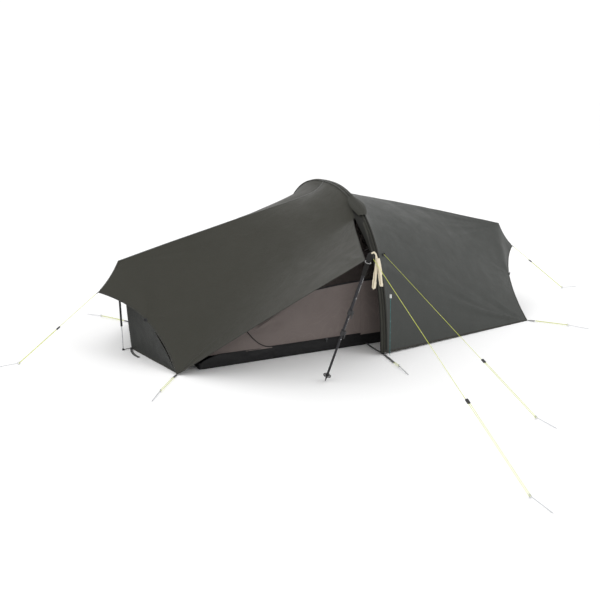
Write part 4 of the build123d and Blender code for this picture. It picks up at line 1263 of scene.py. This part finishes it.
finish_piece(joined("tray_piping", pip, TAPE_B), "root")
nx_, ny_ = 90, 48
P = np.zeros((nx_, ny_, 3))
for i in range(nx_):
    for j in range(ny_):
        P[i, j] = (-(FLOOR_X - 0.004) + 2 * (FLOOR_X - 0.004) * i / (nx_ - 1), -(FLOOR_Y - 0.004) + 2 * (FLOOR_Y - 0.004) * j / (ny_ - 1), 0.0022)
h = noise3(P.reshape(-1, 3), 2.6, 95, 4)
P[..., 2] += (h.reshape(nx_, ny_) * 0.0011)
fl = obj_from("tray_floor", P.reshape(-1, 3), [(i * ny_ + j, (i + 1) * ny_ + j, (i + 1) * ny_ + j + 1, i * ny_ + j + 1) for i in range(nx_ - 1) for j in range(ny_ - 1)], TUB)
so = fl.modifiers.new("thick", "SOLIDIFY")
so.thickness, so.offset = 0.0008, 0
finish_piece(fl, "root", ["groundsheet"])


# =====================================================================
# straps, tabs, loops
# =====================================================================
def mm(*p):
    return np.array(p, float) / 1000


web = []
for sx, sy in ((-1, -1), (1, -1), (-1, 1), (1, 1)):
    c = np.array([sx * 1.339, sy * 0.646, 0])
    pg = np.array([sx * 1.504, sy * 0.891, 0])
    out = unit(pg - c)
    a = c + out * 0.003 + (0, 0, 0.003)
    b = c + out * 0.054 + (0, 0, 0.0062)
    strap("x", [a, c + out * 0.028 + (0, 0, 0.0052), b], 0.014, 0.0016, WEB, join=web, n=14)
strap("x", [mm(-2, -880, 6), mm(-6, -930, 4), mm(-22, -1040, 5.4)], 0.015, 0.0018, WEB, join=web, n=24)
strap("x", [mm(0, 880, 6), mm(0, 915, 4), mm(0, 952, 5)], 0.019, 0.0018, WEB, join=web, n=16)
for sy in (-1, 1):
    strap("x", [mm(0, sy * 624, 10), mm(0, sy * 700, 5), mm(1, sy * 780, 3.2), mm(0, sy * 862, 4)], 0.014, 0.0016, WEB, join=web, n=24)
for sx in (-1, 1):
    strap("x", [mm(sx * 1662, 0, 423), mm(sx * 1669, 0, 418), mm(sx * 1677, 0, 412)], 0.012, 0.0018, WEB, join=web, n=10, up=(0, 0, 1))
finish_piece(joined("webbing_loops_v", web, WEB), "root", ["webbing_loops"])


def tab_mesh(parts_, c, ax, ay, az, w, h, t):
    """Small sewn square with rounded corners and a raised rim."""
    n = 28
    V, F = [], []
    for s, lay in ((1.0, 0.0), (1.0, 0.5), (0.9, 0.62), (0.78, 0.45), (0.0, 0.45)):
        for k in range(n):
            a = 2 * math.pi * k / n
            x = math.copysign(abs(math.cos(a)) ** 0.35, math.cos(a)) * w / 2 * s
            y = math.copysign(abs(math.sin(a)) ** 0.35, math.sin(a)) * h / 2 * s
            V.append(c + ax * x + ay * y + az * t * lay)
    for r in range(4):
        for k in range(n):
            F.append((r * n + k, r * n + (k + 1) % n, (r + 1) * n + (k + 1) % n, (r + 1) * n + k))
    m = len(V)
    for k in range(n):
        V.append(V[k] - az * t * 0.5)
    for k in range(n):
        F.append((k, m + k, m + (k + 1) % n, (k + 1) % n))
    F.append(tuple(m + k for k in range(n))[::-1])
    parts_.append((V, F))


tabs = []
for sx in (-1, 1):
    for sy in (-1, 1):
        az = unit((sx * 0.62, sy * 0.76, 0.1))
        ay = np.array([0, 0, 1.0])
        ax = np.cross(ay, az)
        c = np.array([sx * 1.4275, sy * 0.2865, 0.275]) + az * 0.004
        tab_mesh(tabs, c, ax, ay, az, 0.024, 0.022, 0.003)
HN, HX = unit((0.4383, -0.7585, 0.4822)), unit((0.8988, 0.3699, -0.2351))
HC = mm(75.15, -717.7, 635.97)
tab_mesh(tabs, HC, HX, np.cross(HN, HX), HN, 0.024, 0.022, 0.003)
strap("x", [HC + HN * 0.003, HC + HN * 0.008 + np.cross(HN, HX) * 0.004, HC + HN * 0.003 + np.cross(HN, HX) * 0.008], 0.010, 0.0016, WEB, join=tabs, n=8, up=tuple(HX))
finish_piece(joined("edge_tabs_v", tabs, WEB), "root", ["edge_tabs"])

st = []
for s in (-1, 1):
    strap("x", [mm(s * 1526, 3, 3), mm(s * 1510, 8, 2.4), mm(s * 1477, 12, 3)], 0.007, 0.0014, WEB, join=st, n=10)
    strap("x", [mm(s * 1474, -6, 12), mm(s * 1478, -24, 3), mm(s * 1484, -60, 1.5), mm(s * 1487, -110, 1.5), mm(s * 1482, -160, 1.5), mm(s * 1470, -206, 1.5)], 0.017, 0.0024, WEB, join=st, n=40)
finish_piece(joined("strut_straps_v", st, WEB), "root", ["strut_straps"])

# =====================================================================
# walking pole grip and strap
# =====================================================================
side_v = unit(np.cross(AXIS, (0, 0, 1)))
y_v = np.cross(AXIS, side_v)


def lathe(name, prof, mat, n=40, shape=None):
    V, F = [], []
    for z, r in prof:
        for k in range(n):
            a = 2 * math.pi * k / n
            rr = r if shape is None else shape(z, r, a)
            V.append(TIP_FOOT + AXIS * z + (side_v * math.cos(a) + y_v * math.sin(a)) * rr)
    m = len(prof)
    for i in range(m - 1):
        for k in range(n):
            a, b = i * n + k, i * n + (k + 1) % n
            F.append((a, b, b + n, a + n))
    F.append(tuple(range(n))[::-1])
    F.append(tuple((m - 1) * n + k for k in range(n)))
    return obj_from(name, V, F, mat)


g_prof = [(PL - 0.1335, 0.0098), (PL - 0.1335, 0.0148), (PL - 0.1315, 0.0158), (PL - 0.128, 0.0150), (PL - 0.124, 0.0132)]
for k in range(26):
    z = PL - 0.122 + 0.080 * k / 25
    g_prof.append((z, 0.0136 + 0.0012 * math.sin(k * 1.26) - 0.0006 * (k / 25)))
g_prof += [(PL - 0.038, 0.0142), (PL - 0.032, 0.0165), (PL - 0.024, 0.0172), (PL - 0.012, 0.0172), (PL - 0.002, 0.0160), (PL + 0.003, 0.0125), (PL + 0.0055, 0.007), (PL + 0.006, 0.001)]
grip = lathe("pole_grip_v", g_prof, GRIP, 44, lambda z, r, a: r * (1 + 0.10 * math.cos(a) * (z > PL - 0.04) + 0.04 * math.cos(2 * a)))
finish_piece(grip, "root", ["pole_grip"])
ws = []
h0 = TIP_HEAD + np.array([0.013, -0.024, -0.010])
view = (0.35, -0.9, 0.1)
strap("x", [h0 + (-0.016, 0.012, 0.016), h0 + (-0.004, 0.004, 0.024), h0 + (0.006, -0.002, 0.010), h0 + (0.004, -0.004, -0.040), h0 + (-0.006, -0.006, -0.100),
      h0 + (-0.014, -0.008, -0.172), h0 + (-0.010, -0.013, -0.180), h0 + (-0.004, -0.012, -0.150), h0 + (0.004, -0.010, -0.080), h0 + (0.008, -0.008, -0.014)],
      0.021, 0.0022, CREAM, join=ws, n=90, up=view, widths=[0.5, 0.5, 0.55, 0.8, 1.1, 1.0, 0.7, 1.0, 0.9, 0.6])
strap("x", [h0 + (0.006, -0.002, 0.006), h0 + (0.014, -0.010, -0.030), h0 + (0.024, -0.012, -0.090), h0 + (0.030, -0.014, -0.158), h0 + (0.034, -0.018, -0.170),
      h0 + (0.034, -0.018, -0.150), h0 + (0.026, -0.018, -0.080), h0 + (0.012, -0.014, -0.010)],
      0.024, 0.0022, CREAM, join=ws, n=90, up=view, widths=[0.5, 0.9, 1.15, 1.0, 0.6, 1.0, 1.1, 0.5])
finish_piece(joined("wrist_strap_v", ws, CREAM), "root", ["pole_wrist_strap"])

# =====================================================================
# finishes for the carried-over CAD nodes
# =====================================================================
FINISH = {
    "hoop_pole_sections": ALU, "hoop_pole_ferrules": ALU_D, "hoop_pole_tips": BLACKP,
    "end_strut_rods": ALU, "end_strut_sleeves": WEB, "end_strut_feet": BLACKP, "end_strut_pockets": WEB,
    "inner_hangers": WEB, "ground_pegs": ALU, "cord_lock": WHITEP, "inner_zip_slider": ZIPM,
    "pole_upper_tube": UPPER, "pole_middle_tube": MIDDLE, "pole_lower_tube": LOWER,
    "pole_upper_clamp": BLACKP, "pole_lower_clamp": BLACKP, "pole_upper_lever": BLACKP, "pole_lower_lever": BLACKP,
    "pole_basket": BLACKP, "pole_tip": BLACKP, "door_corner_ring": STEEL,
    "guy_runner_door": BLACKP, "guy_runner_hoop": BLACKP, "guy_runner_beak_left": BLACKP, "guy_runner_beak_right": BLACKP,
}
for n, m in FINISH.items():
    ob = frame["nodes"][n]
    ob = ob if hasattr(ob, "data") else bpy.data.objects[ob if isinstance(ob, str) else n]
    for s in ob.material_slots:
        s.material = m
    if not ob.material_slots:
        ob.data.materials.append(m)
